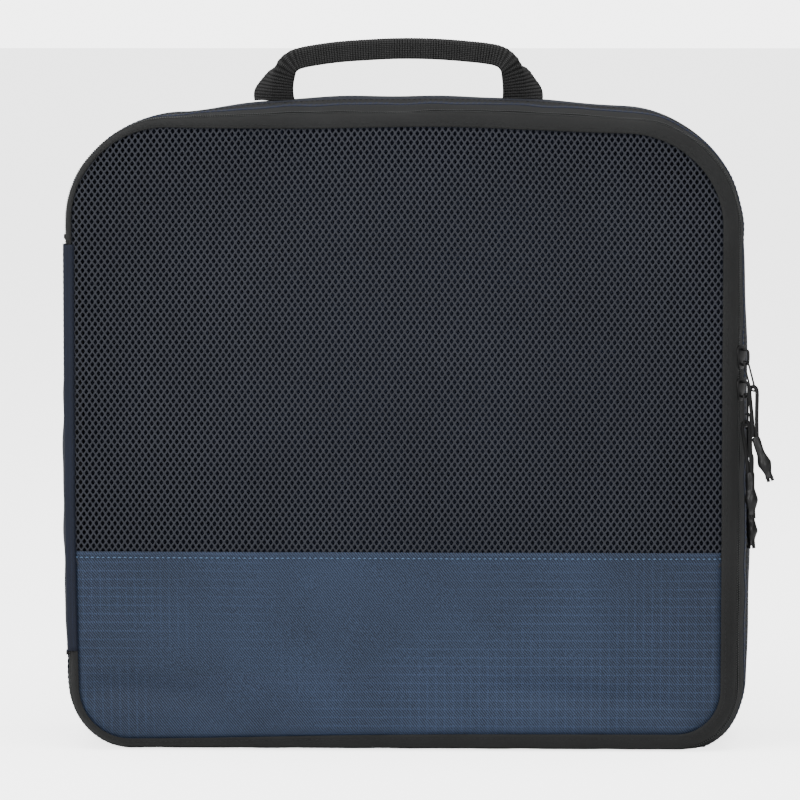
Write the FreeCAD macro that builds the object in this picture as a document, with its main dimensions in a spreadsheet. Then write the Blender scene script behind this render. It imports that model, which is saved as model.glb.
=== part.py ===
import FreeCAD, Part
import math
import os

import Sketcher
from FreeCAD import Placement, Rotation, Vector

# A soft packing cube that stands on its lower side: a rear tray, a middle frame and a mesh door.
# +X is to the right of the door, +Y runs from the door to the back panel and +Z is up.
# The origin is the middle of the lower side, on the surface that the cube stands on.
# "grow" is how far an outline stands outside the door's outline, on its sides and its top;
# "rise" is the height of the outline's lower side.

SIZES = [
    ("body_width", 334.0, "across the door at the main zip"),
    ("body_height", 318.0, "from the door's lower edge to its upper edge"),
    ("body_depth", 90.0, "from the door's face to the back panel's face"),
    ("door_lift", 1.0, "door's lower edge above the standing surface"),
    ("top_radius", 54.0, "upper corners of the door's outline"),
    ("bottom_radius", 30.0, "lower corners of the door's outline"),
    ("fabric_wall", 1.0, "coated twill"),
    ("tape_wall", 0.8, "zip tape and mesh"),
    ("binding_wall", 0.8, "seam binding inside"),
    ("bevel_in", 6.0, "how far the door's tape turns in from the outline to the face"),
    ("flange_width", 5.0, "door's tape that lies on the face"),
    ("main_zip_line", 7.0, "main zip's meeting line behind the face"),
    ("zip_gap", 1.6, "between the two tapes of a zip"),
    ("tape_width", 9.2, "tape that shows beside a zip's gap"),
    ("tape_lap", 3.0, "tape that lies under the fabric"),
    ("tape_grow", 2.0, "the middle tapes' outline outside the door's"),
    ("strip_width", 5.0, "fabric strip between the two zips"),
    ("coil_wall", 1.6, "height of the coil under its tape"),
    ("coil_width", 2.0, "width of one side's coil"),
    ("coil_setback", 0.8, "coil behind the edge of its tape"),
    ("rear_lean", 0.3, "the main rear tape's outline at the gap, outside the door's"),
    ("hinge_low", 50.0, "lower end of the hinge panel"),
    ("hinge_high", 255.0, "upper end of the hinge panel"),
    ("hinge_strip", 6.0, "hinge fabric on the door's face"),
    ("pocket_top", 100.0, "upper edge of the lower fabric panel"),
    ("pleat_clear", 0.6, "from the expansion slider's plate to the pleat"),
    ("pleat_length", 48.0, "expansion pleat, front to back"),
    ("pleat_wall", 0.8, "expansion pleat fabric"),
    ("binding_width", 5.0, "seam binding"),
    ("slider_length", 10.5, "slider along the zip"),
    ("slider_width", 7.0, "slider across the zip"),
    ("slider_door_side", 2.8, "slider's cover on the door's side of the gap"),
    ("slider_wall", 1.2, "slider's cover"),
    ("slider_clear", 1.0, "between the tapes and the slider's cover"),
    ("slider_under", 1.0, "slider's plate under the coils"),
    ("post_width", 0.7, "slider's post between the tapes"),
    ("post_length", 4.0, "slider's post along the zip"),
    ("slider_tilt", 28.0, "the main sliders face this far towards the front"),
    ("bridge_length", 8.6, "slider's bridge along the zip"),
    ("bridge_height", 4.4, "slider's bridge above the cover"),
    ("bridge_wall", 1.3, "slider's bridge"),
    ("bridge_width", 1.6, "slider's bridge across the zip"),
    ("upper_slider", 197.0, "height of the main zip's upper slider"),
    ("lower_slider", 181.0, "height of the main zip's lower slider"),
    ("rear_slider", 163.0, "height of the expansion zip's slider"),
    ("wire_radius", 0.5, "pull's wire"),
    ("wire_half_width", 2.4, "middle of the wire loop to the middle of its leg"),
    ("wire_reach", 16.0, "from the loop's upper bend to its lower bend"),
    ("cord_diameter", 2.0, "pull's cord"),
    ("cord_drop", 23.0, "from the wire to the sleeve's mouth"),
    ("sleeve_radius", 2.2, "shrink sleeve on the cords"),
    ("knot_radius", 3.0, "shrink sleeve over the knot"),
    ("sleeve_length", 21.5, "shrink sleeve"),
    ("handle_shift", -2.75, "middle of the handle from the middle of the cube"),
    ("handle_back", 50.0, "handle behind the door's face"),
    ("webbing_width", 20.5, "handle webbing"),
    ("webbing_wall", 1.6, "one layer of handle webbing"),
    ("handle_wall", 3.0, "handle's folded webbing"),
    ("foot_half_gap", 52.0, "middle of the handle to a foot's inner edge"),
    ("foot_length", 25.0, "foot, front to back"),
    ("handle_height", 31.0, "handle above its pivots"),
    ("grip_height", 10.0, "folded grip"),
    ("pivot_height", 1.3, "handle's pivots above the feet"),
    ("handle_clear", 0.1, "handle's lower edge above the feet"),
    ("handle_lean", 12.5, "how far the handle's outer edges lean in at the grip"),
    ("handle_corner", 3.0, "handle's cut corners, across"),
    ("handle_corner_drop", 2.0, "handle's cut corners, down"),
    ("foot_lap", 0.2, "how far the feet start in front of the handle's back"),
    ("seam_clear", 0.1, "between fabric and what is sewn under it"),
    ("rear_tape_inset", 0.4, "the expansion zip's rear tape inside the middle tapes' outline"),
    ("panel_clear", 0.2, "between the door's bevel and its face panels"),
    ("garage_low", 140.0, "lower end of the tab on the expansion zip's ends"),
    ("garage_length", 22.0, "tab on the expansion zip's ends"),
    ("garage_wall", 0.8, "the tab's webbing"),
    ("garage_clear", 0.5, "the tab's gap over the tapes"),
    ("garage_reach", 5.0, "how far the tab laps over the front tape"),
    ("garage_front", 2.0, "the tab's sewn end behind the rear tape's edge"),
    ("garage_back", 1.0, "the tab's sewn end in front of the gusset"),
    ("bridge_shoulder", 1.6, "slider bridge's cut corners"),
    ("wire_rest", 0.35, "between the hanging wire and the bridge's lower end"),
    ("stop_length", 3.0, "zip stop along the zip"),
    ("stop_wall", 0.8, "height of a zip stop"),
    ("stop_clear", 0.05, "between a zip stop and the coil"),
    ("stop_low", 6.0, "lower stop below the hinge panel's end"),
    ("stop_high", 3.0, "upper stop above the hinge panel's end"),
    ("hinge_setback", 1.0, "hinge panel's front edge behind the door's face"),
]

# The pulls: slider size that gives the height, zip, and how far wire, cord and sleeve hang
# out from the vertical, with how far the wire leans to the front.
PULLS = [
    ("main_upper", "upper_slider", "main", 24.0, 3.0, 22.0, 16.0),
    ("main_lower", "lower_slider", "main", 1.0, 6.0, 3.0, 0.0),
    ("expansion", "rear_slider", "expansion", 1.0, 3.0, 2.0, 0.0),
]

# The cord's route in its own frame: (out, up) from the middle of the wire's lower bend.
CORD_ROUTE = [
    (-1.05, -23.0),
    (-1.08, -15.0),
    (-1.75, -6.0),
    (-2.25, 2.1),
    (2.25, 2.1),
    (1.75, -6.0),
    (1.08, -15.0),
    (1.05, -23.0),
]
ARC_SHARE = 0.45  # of the shorter run beside a turn

doc = FreeCAD.newDocument("packing_cube")


def fill_sheet():
    """The spreadsheet of driving sizes, in millimetres and degrees."""
    sheet = doc.addObject("Spreadsheet::Sheet", "Sizes")
    for row, (alias, number, note) in enumerate(SIZES, start=1):
        sheet.set(f"A{row}", alias)
        sheet.set(f"B{row}", str(number))
        sheet.set(f"C{row}", note)
        sheet.setAlias(f"B{row}", alias)
    doc.recompute()
    return sheet


sizes = fill_sheet()
size = {alias: float(getattr(sizes, alias)) for alias, _, _ in SIZES}

# Stations from front to back, as expressions on the sheet.
FACE = "(-Sizes.body_depth / 2)"
BACK = "(Sizes.body_depth / 2)"
HALF_GAP = "Sizes.zip_gap / 2"
MAIN_LINE = f"({FACE} + Sizes.main_zip_line)"
MAIN_FRONT_EDGE = f"({MAIN_LINE} - {HALF_GAP})"
MAIN_REAR_EDGE = f"({MAIN_LINE} + {HALF_GAP})"
STRIP_FRONT = f"({MAIN_REAR_EDGE} + Sizes.tape_width)"
STRIP_BACK = f"({STRIP_FRONT} + Sizes.strip_width)"
EXPANSION_FRONT_EDGE = f"({STRIP_BACK} + Sizes.tape_width)"
EXPANSION_LINE = f"({EXPANSION_FRONT_EDGE} + {HALF_GAP})"
EXPANSION_REAR_EDGE = f"({EXPANSION_LINE} + {HALF_GAP})"
GUSSET_FRONT = f"({EXPANSION_REAR_EDGE} + Sizes.tape_width)"
PLEAT_FRONT = f"({STRIP_BACK} + Sizes.tape_lap)"
# Outlines.
FABRIC_GROW = "(Sizes.tape_grow + Sizes.fabric_wall)"
SLIDER_DEPTH = "(Sizes.tape_wall + Sizes.coil_wall + 2 * Sizes.slider_under)"
PLEAT_GROW = f"(Sizes.tape_grow - {SLIDER_DEPTH} - Sizes.slider_under - Sizes.pleat_clear)"
FACE_INSET = "(Sizes.bevel_in + Sizes.tape_wall + Sizes.panel_clear)"
DOOR_BOTTOM = "Sizes.door_lift"
DOOR_EDGE = f"({FACE} + Sizes.tape_wall)"
DOOR_SLOPE = f"(Sizes.bevel_in / ({MAIN_FRONT_EDGE} - {DOOR_EDGE}))"


def number(expression):
    """The value of an expression on the sheet."""
    return float(sizes.evalExpression(expression))


def new_body(name):
    body = doc.addObject("PartDesign::Body", name)
    body.Label = name
    return body


def new_sketch(body, role, offset, name="sketch"):
    """A sketch on one of the body's own origin planes, moved along the plane's normal."""
    sketch = body.newObject("Sketcher::SketchObject", f"{body.Name}_{name}")
    plane = next(f for f in body.Origin.OriginFeatures if f.Role == role)
    sketch.AttachmentSupport = [(plane, "")]
    sketch.MapMode = "FlatFace"
    sketch.setExpression("AttachmentOffset.Base.z", offset)
    return sketch


def constrain(sketch, name, kind, *where, expression):
    """One named constraint whose value comes from the sheet."""
    index = sketch.addConstraint(Sketcher.Constraint(kind, *where, number(expression)))
    sketch.renameConstraint(index, name)
    sketch.setExpression(f"Constraints.{name}", expression)


def rounded_outline(sketch, tag, grow, rise):
    """A closed outline of the cube seen from the front: four sides and four corner arcs."""
    half = f"Sizes.body_width / 2 + {grow}"
    top = f"Sizes.door_lift + Sizes.body_height + {grow}"
    upper = f"Sizes.top_radius + {grow}"
    lower = f"Sizes.bottom_radius + {grow}"
    w, t, b = number(half), number(top), number(rise)
    u, v = number(upper), number(lower)
    quarter = math.pi / 2
    corners = [(w - v, b + v, v), (w - u, t - u, u), (u - w, t - u, u), (v - w, b + v, v)]
    ends = [
        ((v - w, b), (w - v, b)),
        ((w, b + v), (w, t - u)),
        ((w - u, t), (u - w, t)),
        ((-w, t - u), (-w, b + v)),
    ]
    first = sketch.GeometryCount
    for turn, (side, (x, z, radius)) in enumerate(zip(ends, corners)):
        sketch.addGeometry(Part.LineSegment(Vector(*side[0], 0), Vector(*side[1], 0)))
        circle = Part.Circle(Vector(x, z, 0), Vector(0, 0, 1), radius)
        sketch.addGeometry(Part.ArcOfCircle(circle, (turn - 1) * quarter, turn * quarter))
    bottom, right, over, left = first, first + 2, first + 4, first + 6
    for step in range(8):
        after = first + (step + 1) % 8
        sketch.addConstraint(Sketcher.Constraint("Tangent", first + step, 2, after, 1))
    for line in (bottom, over):
        sketch.addConstraint(Sketcher.Constraint("Horizontal", line))
    for line in (right, left):
        sketch.addConstraint(Sketcher.Constraint("Vertical", line))
    constrain(sketch, f"{tag}_right", "DistanceX", -1, 1, right, 1, expression=half)
    constrain(sketch, f"{tag}_left", "DistanceX", left, 1, -1, 1, expression=half)
    constrain(sketch, f"{tag}_top", "DistanceY", -1, 1, over, 1, expression=top)
    constrain(sketch, f"{tag}_bottom", "DistanceY", -1, 1, bottom, 1, expression=rise)
    for corner, radius in enumerate((lower, upper, upper, lower)):
        constrain(sketch, f"{tag}_radius{corner}", "Radius", first + 1 + 2 * corner, expression=radius)


def rectangle(sketch, left, right, low, high):
    """A closed rectangle between four expressions."""
    x0, x1, z0, z1 = (number(side) for side in (left, right, low, high))
    points = [Vector(x0, z0, 0), Vector(x1, z0, 0), Vector(x1, z1, 0), Vector(x0, z1, 0)]
    for step in range(4):
        sketch.addGeometry(Part.LineSegment(points[step], points[(step + 1) % 4]))
    for step in range(4):
        sketch.addConstraint(Sketcher.Constraint("Coincident", step, 2, (step + 1) % 4, 1))
    for line in (0, 2):
        sketch.addConstraint(Sketcher.Constraint("Horizontal", line))
    for line in (1, 3):
        sketch.addConstraint(Sketcher.Constraint("Vertical", line))
    for name, kind, point, value in (
        ("left", "DistanceX", 1, left),
        ("right", "DistanceX", 2, right),
    ):
        constrain(sketch, name, kind, -1, 1, 0, point, expression=value)
    constrain(sketch, "low", "DistanceY", -1, 1, 0, 1, expression=low)
    constrain(sketch, "high", "DistanceY", -1, 1, 2, 1, expression=high)


def pad(body, sketch, length, both_ways=False):
    feature = body.newObject("PartDesign::Pad", f"{body.Name}_pad")
    feature.Profile = sketch
    feature.Midplane = both_ways
    feature.setExpression("Length", length)
    sketch.Visibility = False
    return feature


def cut_through(body, left, right, low, high):
    """Removes a rectangle, seen from the front, from the whole depth of the body."""
    sketch = new_sketch(body, "XZ_Plane", "0", "cut")
    rectangle(sketch, left, right, low, high)
    pocket = body.newObject("PartDesign::Pocket", f"{body.Name}_cut")
    pocket.Profile = sketch
    pocket.Type = "ThroughAll"
    pocket.Midplane = True
    return pocket


def outline_sketch(body, station, name, *loops):
    """A sketch across the cube at a station, with an outline for each (grow, rise)."""
    sketch = new_sketch(body, "XZ_Plane", f"-{station}", name)
    for count, (grow, rise) in enumerate(loops):
        rounded_outline(sketch, f"loop{count}", grow, rise)
    return sketch


def straight_ring(body, front, back, grow, rise, wall):
    """A band round the cube with straight sides, from one station to another."""
    inner = (f"({grow} - {wall})", f"({rise} + {wall})")
    sketch = outline_sketch(body, back, f"ring{len(body.Group)}", (grow, rise), inner)
    return pad(body, sketch, f"{back} - {front}")


def tapered_ring(body, front, back, wall):
    """A band round the cube between two (station, grow, rise) outlines."""
    for kind, name, inset in (
        ("PartDesign::AdditiveLoft", "outside", "0"),
        ("PartDesign::SubtractiveLoft", "inside", wall),
    ):
        sketches = []
        for end, (station, grow, rise) in enumerate((front, back)):
            loop = (f"({grow} - {inset})", f"({rise} + {inset})")
            sketches.append(outline_sketch(body, station, f"{name}{end}", loop))
        loft = body.newObject(kind, f"{body.Name}_{name}")
        loft.Profile = sketches[0]
        loft.Sections = [sketches[1]]
        loft.Ruled = True
    return body


def open_at_hinge(body):
    """Takes the zip away where the hinge panel is."""
    outside = "-(Sizes.body_width / 2 + 20)"
    inside = "-(Sizes.body_width / 2 - 20)"
    cut_through(body, outside, inside, "Sizes.hinge_low", "Sizes.hinge_high")


def prism(name, role, points, start, length):
    """A body padded from a polygon of plain points on an origin plane."""
    body = new_body(name)
    sketch = new_sketch(body, role, start)
    for step, (x, y) in enumerate(points):
        after = points[(step + 1) % len(points)]
        sketch.addGeometry(Part.LineSegment(Vector(x, y, 0), Vector(*after, 0)))
    for step in range(len(points)):
        sketch.addConstraint(Sketcher.Constraint("Coincident", step, 2, (step + 1) % len(points), 1))
        sketch.addConstraint(Sketcher.Constraint("Block", step))
    pad(body, sketch, length)
    return body


# The rear tray.


def back_panel():
    body = new_body("back_panel")
    sketch = outline_sketch(body, BACK, "panel", ("(-Sizes.fabric_wall)", "Sizes.fabric_wall"))
    pad(body, sketch, "Sizes.fabric_wall")


def main_gusset():
    body = new_body("main_gusset")
    tapered_ring(body, (GUSSET_FRONT, FABRIC_GROW, "0"), (BACK, "0", "0"), "Sizes.fabric_wall")


def back_seam_binding():
    body = new_body("back_seam_binding")
    back = f"({BACK} - Sizes.fabric_wall)"
    front = f"({back} - Sizes.binding_width)"
    grow = "(-Sizes.fabric_wall - Sizes.seam_clear)"
    rise = "(Sizes.fabric_wall + Sizes.seam_clear)"
    straight_ring(body, front, back, grow, rise, "Sizes.binding_wall")


def expansion_rear_tape():
    body = new_body("expansion_zip_rear_tape")
    back = f"({GUSSET_FRONT} + Sizes.tape_lap)"
    grow = "(Sizes.tape_grow - Sizes.rear_tape_inset)"
    rise = "(Sizes.fabric_wall + Sizes.seam_clear)"
    straight_ring(body, EXPANSION_REAR_EDGE, back, grow, rise, "Sizes.tape_wall")


def expansion_rear_coil():
    body = new_body("expansion_zip_rear_coil")
    front = f"({EXPANSION_REAR_EDGE} + Sizes.coil_setback)"
    grow = "(Sizes.tape_grow - Sizes.rear_tape_inset - Sizes.tape_wall)"
    rise = "(Sizes.fabric_wall + Sizes.seam_clear + Sizes.tape_wall)"
    straight_ring(body, front, f"({front} + Sizes.coil_width)", grow, rise, "Sizes.coil_wall")


def gusset_top_at(y):
    """Height of the gusset's upper face at a distance back from the origin."""
    front, back = number(GUSSET_FRONT), number(BACK)
    share = (y - front) / (back - front)
    return size["door_lift"] + size["body_height"] + number(FABRIC_GROW) * (1 - share)


def handle_feet():
    """The webbing's two ends, sewn flat on the gusset behind the handle's pivots."""
    front = number(f"{FACE} + Sizes.handle_back") + size["handle_wall"] / 2 - size["foot_lap"]
    back = front + size["foot_length"]
    profile = [
        (front, gusset_top_at(front)),
        (back, gusset_top_at(back)),
        (back, gusset_top_at(back) + size["webbing_wall"]),
        (front, gusset_top_at(front) + size["webbing_wall"]),
    ]
    inner = size["foot_half_gap"]
    left = size["handle_shift"] - inner - size["webbing_width"]
    right = size["handle_shift"] + inner
    for name, start in (("left", left), ("right", right)):
        prism(f"handle_foot_{name}", "YZ_Plane", profile, str(start), "Sizes.webbing_width")


def expansion_zip_garage():
    """The tab that covers the ends of the expansion zip, in the middle of the left side."""
    tape = -(size["body_width"] / 2 + size["tape_grow"])
    rear = number(EXPANSION_REAR_EDGE)
    gusset = number(GUSSET_FRONT)
    front = number(EXPANSION_FRONT_EDGE)
    seat = tape + size["rear_tape_inset"]
    under = tape - size["garage_clear"]
    over = under - size["garage_wall"]
    near = rear + size["garage_front"]
    far = gusset - size["garage_back"]
    tip = front - size["garage_reach"]
    profile = [(seat, near), (seat, far), (over, far), (over, tip), (under, tip), (under, near)]
    prism("expansion_zip_garage", "XY_Plane", profile, "Sizes.garage_low", "Sizes.garage_length")


# The middle frame.


def centre_strip():
    body = new_body("centre_strip")
    straight_ring(body, STRIP_FRONT, STRIP_BACK, FABRIC_GROW, "0", "Sizes.fabric_wall")


def main_rear_tape():
    body = new_body("main_zip_rear_tape")
    rise = "Sizes.fabric_wall"
    front = (MAIN_REAR_EDGE, "Sizes.rear_lean", rise)
    back = (STRIP_FRONT, "Sizes.tape_grow", rise)
    tapered_ring(body, front, back, "Sizes.tape_wall")
    open_at_hinge(body)


def main_rear_coil():
    body = new_body("main_zip_rear_coil")
    slope = "((Sizes.tape_grow - Sizes.rear_lean) / Sizes.tape_width)"
    front = f"({MAIN_REAR_EDGE} + Sizes.coil_setback)"
    back = f"({front} + Sizes.coil_width)"
    near = f"(Sizes.rear_lean - Sizes.tape_wall + {slope} * Sizes.coil_setback)"
    far = f"({near} + {slope} * Sizes.coil_width)"
    rise = "(Sizes.fabric_wall + Sizes.tape_wall)"
    tapered_ring(body, (front, near, rise), (back, far, rise), "Sizes.coil_wall")
    open_at_hinge(body)


def frame_lap():
    """The tapes' inner edges under the strip, sewn together as one binding."""
    body = new_body("frame_seam_binding")
    back = f"({STRIP_BACK} + Sizes.tape_lap)"
    grow = "(Sizes.tape_grow - Sizes.tape_wall)"
    rise = "(Sizes.fabric_wall + Sizes.tape_wall)"
    straight_ring(body, STRIP_FRONT, back, grow, rise, "Sizes.binding_wall")


def expansion_front_tape():
    body = new_body("expansion_zip_front_tape")
    grow, rise = "Sizes.tape_grow", "Sizes.fabric_wall"
    straight_ring(body, STRIP_FRONT, EXPANSION_FRONT_EDGE, grow, rise, "Sizes.tape_wall")


def expansion_front_coil():
    body = new_body("expansion_zip_front_coil")
    back = f"({EXPANSION_FRONT_EDGE} - Sizes.coil_setback)"
    grow = "(Sizes.tape_grow - Sizes.tape_wall)"
    rise = "(Sizes.fabric_wall + Sizes.tape_wall)"
    straight_ring(body, f"({back} - Sizes.coil_width)", back, grow, rise, "Sizes.coil_wall")


def expansion_pleat():
    """The pleat that folds out of the tray: a wall with a turned-out front edge."""
    body = new_body("expansion_pleat")
    step = "(Sizes.tape_grow - Sizes.tape_wall - Sizes.binding_wall)"
    rise = "(Sizes.fabric_wall + Sizes.tape_wall + Sizes.binding_wall)"
    front = f"({PLEAT_FRONT} - Sizes.pleat_wall)"
    reach = f"({step} - {PLEAT_GROW} + Sizes.pleat_wall)"
    straight_ring(body, front, PLEAT_FRONT, step, rise, reach)
    low = f"({rise} + {step} - {PLEAT_GROW})"
    back = f"({PLEAT_FRONT} + Sizes.pleat_length)"
    straight_ring(body, PLEAT_FRONT, back, PLEAT_GROW, low, "Sizes.pleat_wall")


def hinge_panel():
    """The fabric on the left side that the door folds on."""
    half = size["body_width"] / 2
    front = number(FACE) + size["hinge_setback"]
    back = number(STRIP_FRONT)
    wall = size["fabric_wall"]
    far = size["tape_grow"]
    profile = [
        (-half, front),
        (-half - wall, front),
        (-half - far - wall, back),
        (-half - far, back),
    ]
    lap = "Sizes.tape_lap"
    length = f"Sizes.hinge_high - Sizes.hinge_low + 2 * {lap}"
    prism("hinge_panel", "XY_Plane", profile, f"Sizes.hinge_low - {lap}", length)


def main_zip_stops():
    """Two crimped stops on the rear coil, at the ends of the main zip."""
    outline = -size["body_width"] / 2 - size["rear_lean"]
    inside = outline + size["tape_wall"] + size["coil_wall"] + size["stop_clear"]
    front = number(MAIN_REAR_EDGE) + size["coil_setback"]
    stops = []
    low = size["hinge_low"] - size["stop_low"]
    high = size["hinge_high"] + size["stop_high"]
    for end, z in (("low", low), ("high", high)):
        box = doc.addObject("Part::Box", f"stop_{end}")
        box.setExpression("Length", "Sizes.stop_wall")
        box.setExpression("Width", "Sizes.coil_width")
        box.setExpression("Height", "Sizes.stop_length")
        box.Placement = Placement(Vector(inside, front, z), Rotation())
        stops.append(box)
    group = doc.addObject("Part::Compound", "main_zip_stops")
    group.Label = "main_zip_stops"
    group.Links = stops


# The door.


def door_tape():
    """The main zip's front tape: it turns from the gap round the edge on to the face."""
    body = new_body("main_zip_front_tape")
    rise = f"({DOOR_BOTTOM} + Sizes.bevel_in)"
    front = (DOOR_EDGE, "(-Sizes.bevel_in)", rise)
    tapered_ring(body, front, (MAIN_FRONT_EDGE, "0", DOOR_BOTTOM), "Sizes.tape_wall")
    flange = "(Sizes.flange_width + Sizes.tape_wall)"
    straight_ring(body, FACE, DOOR_EDGE, "(-Sizes.bevel_in)", rise, flange)
    open_at_hinge(body)


def door_coil():
    body = new_body("main_zip_front_coil")
    back = f"({MAIN_FRONT_EDGE} - Sizes.coil_setback)"
    front = f"({back} - Sizes.coil_width)"
    near = f"(-Sizes.tape_wall - {DOOR_SLOPE} * Sizes.coil_setback)"
    far = f"({near} - {DOOR_SLOPE} * Sizes.coil_width)"
    first = (front, far, f"({DOOR_BOTTOM} - {far})")
    last = (back, near, f"({DOOR_BOTTOM} - {near})")
    tapered_ring(body, first, last, "Sizes.coil_wall")
    open_at_hinge(body)


def face_panel(name, low, high):
    """A panel behind the tape's flange, between two heights."""
    body = new_body(name)
    back = f"({FACE} + 2 * Sizes.tape_wall)"
    loop = (f"(-{FACE_INSET})", f"({DOOR_BOTTOM} + {FACE_INSET})")
    sketch = outline_sketch(body, back, "panel", loop)
    pad(body, sketch, "Sizes.tape_wall")
    wide = "(Sizes.body_width / 2 + 10)"
    cut_through(body, f"-{wide}", wide, low, high)


def door_hinge_strip():
    """The hinge fabric's edge on the door's face, beside the mesh."""
    box = doc.addObject("Part::Box", "door_hinge_strip")
    box.Label = "door_hinge_strip"
    box.setExpression("Length", "Sizes.hinge_strip")
    box.setExpression("Width", "Sizes.tape_wall")
    box.setExpression("Height", "Sizes.hinge_high - Sizes.hinge_low")
    left = f"-(Sizes.body_width / 2 - {FACE_INSET}) - Sizes.hinge_strip"
    box.setExpression("Placement.Base.x", left)
    box.setExpression("Placement.Base.y", f"{FACE} + Sizes.tape_wall")
    box.setExpression("Placement.Base.z", "Sizes.hinge_low")


def door_seam_binding():
    body = new_body("door_seam_binding")
    front = f"({FACE} + 2 * Sizes.tape_wall)"
    inset = f"({FACE_INSET} + Sizes.tape_wall)"
    straight_ring(
        body,
        front,
        f"({front} + Sizes.binding_wall)",
        f"(-{inset})",
        f"({DOOR_BOTTOM} + {inset})",
        "Sizes.binding_width",
    )


# The sliders and their pulls.


def slider_frames(zip_name, height, wire_out, cord_out, sleeve_out, wire_front):
    """The places of a slider, its wire, its cord and its sleeve, each in the cube's frame."""
    half = size["body_width"] / 2
    if zip_name == "main":
        start = Vector(half + size["rear_lean"] / 2, number(MAIN_LINE), height)
        tilt = size["slider_tilt"]
    else:
        start = Vector(half + size["tape_grow"], number(EXPANSION_LINE), height)
        tilt = 0.0
    slider = Placement(start, Rotation(Vector(0, 0, 1), -tilt))
    out = size["slider_clear"] + size["slider_wall"] + bridge_clear() + size["wire_radius"]
    pin = Vector(out, 0, -bridge_low())
    turn = Rotation(Vector(0, 1, 0), -wire_out) * Rotation(Vector(1, 0, 0), -wire_front)
    wire = slider * Placement(pin, turn)
    end = wire.multVec(Vector(0, 0, -size["wire_reach"]))
    cord = Placement(end, slider.Rotation * Rotation(Vector(0, 1, 0), -cord_out))
    mouth = cord.multVec(Vector(0, 0, -size["cord_drop"]))
    sleeve = Placement(mouth, slider.Rotation * Rotation(Vector(0, 1, 0), -sleeve_out))
    return slider, wire, cord, sleeve


def bridge_clear():
    """The wire's clearance in the bridge, above the slider's cover."""
    return (size["bridge_height"] - size["bridge_wall"] - 2 * size["wire_radius"]) / 2


def bridge_low():
    """How far below the slider's middle the wire hangs in the bridge."""
    inside = size["bridge_length"] / 2 - size["bridge_wall"]
    return inside - size["wire_radius"] - size["wire_rest"]


def slider_body(name, place):
    """Cover, post and under-plate, open on the door's side so that the tape can leave."""
    body = new_body(name)
    front, back = "-Sizes.slider_door_side", "Sizes.slider_width / 2"
    half = "Sizes.slider_length / 2"
    cover = new_sketch(body, "YZ_Plane", "Sizes.slider_clear", "cover")
    rectangle(cover, front, back, f"-{half}", half)
    pad(body, cover, "Sizes.slider_wall")
    plate = new_sketch(body, "YZ_Plane", f"-{SLIDER_DEPTH} - Sizes.slider_under", "plate")
    rectangle(plate, "-Sizes.post_width", back, f"-{half}", half)
    pad(body, plate, "Sizes.slider_under")
    post = new_sketch(body, "YZ_Plane", f"-{SLIDER_DEPTH}", "post")
    across, along = "Sizes.post_width / 2", "Sizes.post_length / 2"
    rectangle(post, f"-{across}", across, f"-{along}", along)
    pad(body, post, f"{SLIDER_DEPTH} + Sizes.slider_clear")
    body.Placement = place


def slider_bridge(name, place):
    """The arch that holds the wire, on top of the cover."""
    body = new_body(name)
    base = size["slider_clear"] + size["slider_wall"]
    sketch = new_sketch(body, "XZ_Plane", "0", "arch")
    half, wall = size["bridge_length"] / 2, size["bridge_wall"]
    loops = []
    for inset, shoulder in ((0, size["bridge_shoulder"]), (wall, size["bridge_shoulder"] / 2)):
        end, crest = half - inset, base + size["bridge_height"] - inset
        lower = [(base, -end), (crest - shoulder, -end), (crest, shoulder - end)]
        loops.append(lower + [(out, -up) for out, up in reversed(lower)])
    outline = loops[0] + loops[1][::-1]
    for step, point in enumerate(outline):
        after = outline[(step + 1) % len(outline)]
        sketch.addGeometry(Part.LineSegment(Vector(*point, 0), Vector(*after, 0)))
        sketch.addConstraint(Sketcher.Constraint("Block", step))
    pad(body, sketch, "Sizes.bridge_width", both_ways=True)
    body.Placement = place


def wire_loop(name, place):
    """A closed loop of wire: two legs and two half turns."""
    pieces = []
    half, radius = size["wire_half_width"], size["wire_radius"]
    leg = size["wire_reach"] - 2 * half
    for side in (-1, 1):
        cylinder = doc.addObject("Part::Cylinder", f"{name}_leg")
        cylinder.setExpression("Radius", "Sizes.wire_radius")
        cylinder.setExpression("Height", "Sizes.wire_reach - 2 * Sizes.wire_half_width")
        cylinder.Placement = Placement(Vector(0, side * half, -half - leg), Rotation())
        pieces.append(cylinder)
    for low, turn in ((-half, 90), (-half - leg, -90)):
        bend = doc.addObject("Part::Torus", f"{name}_bend")
        bend.setExpression("Radius1", "Sizes.wire_half_width")
        bend.setExpression("Radius2", "Sizes.wire_radius")
        bend.Angle3 = 180
        upright = Rotation(Vector(0, 1, 0), 90) * Rotation(Vector(0, 0, 1), turn)
        bend.Placement = Placement(Vector(0, 0, low), upright)
        pieces.append(bend)
    loop = doc.addObject("Part::MultiFuse", name)
    loop.Label = name
    loop.Shapes = pieces
    loop.Placement = place


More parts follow.
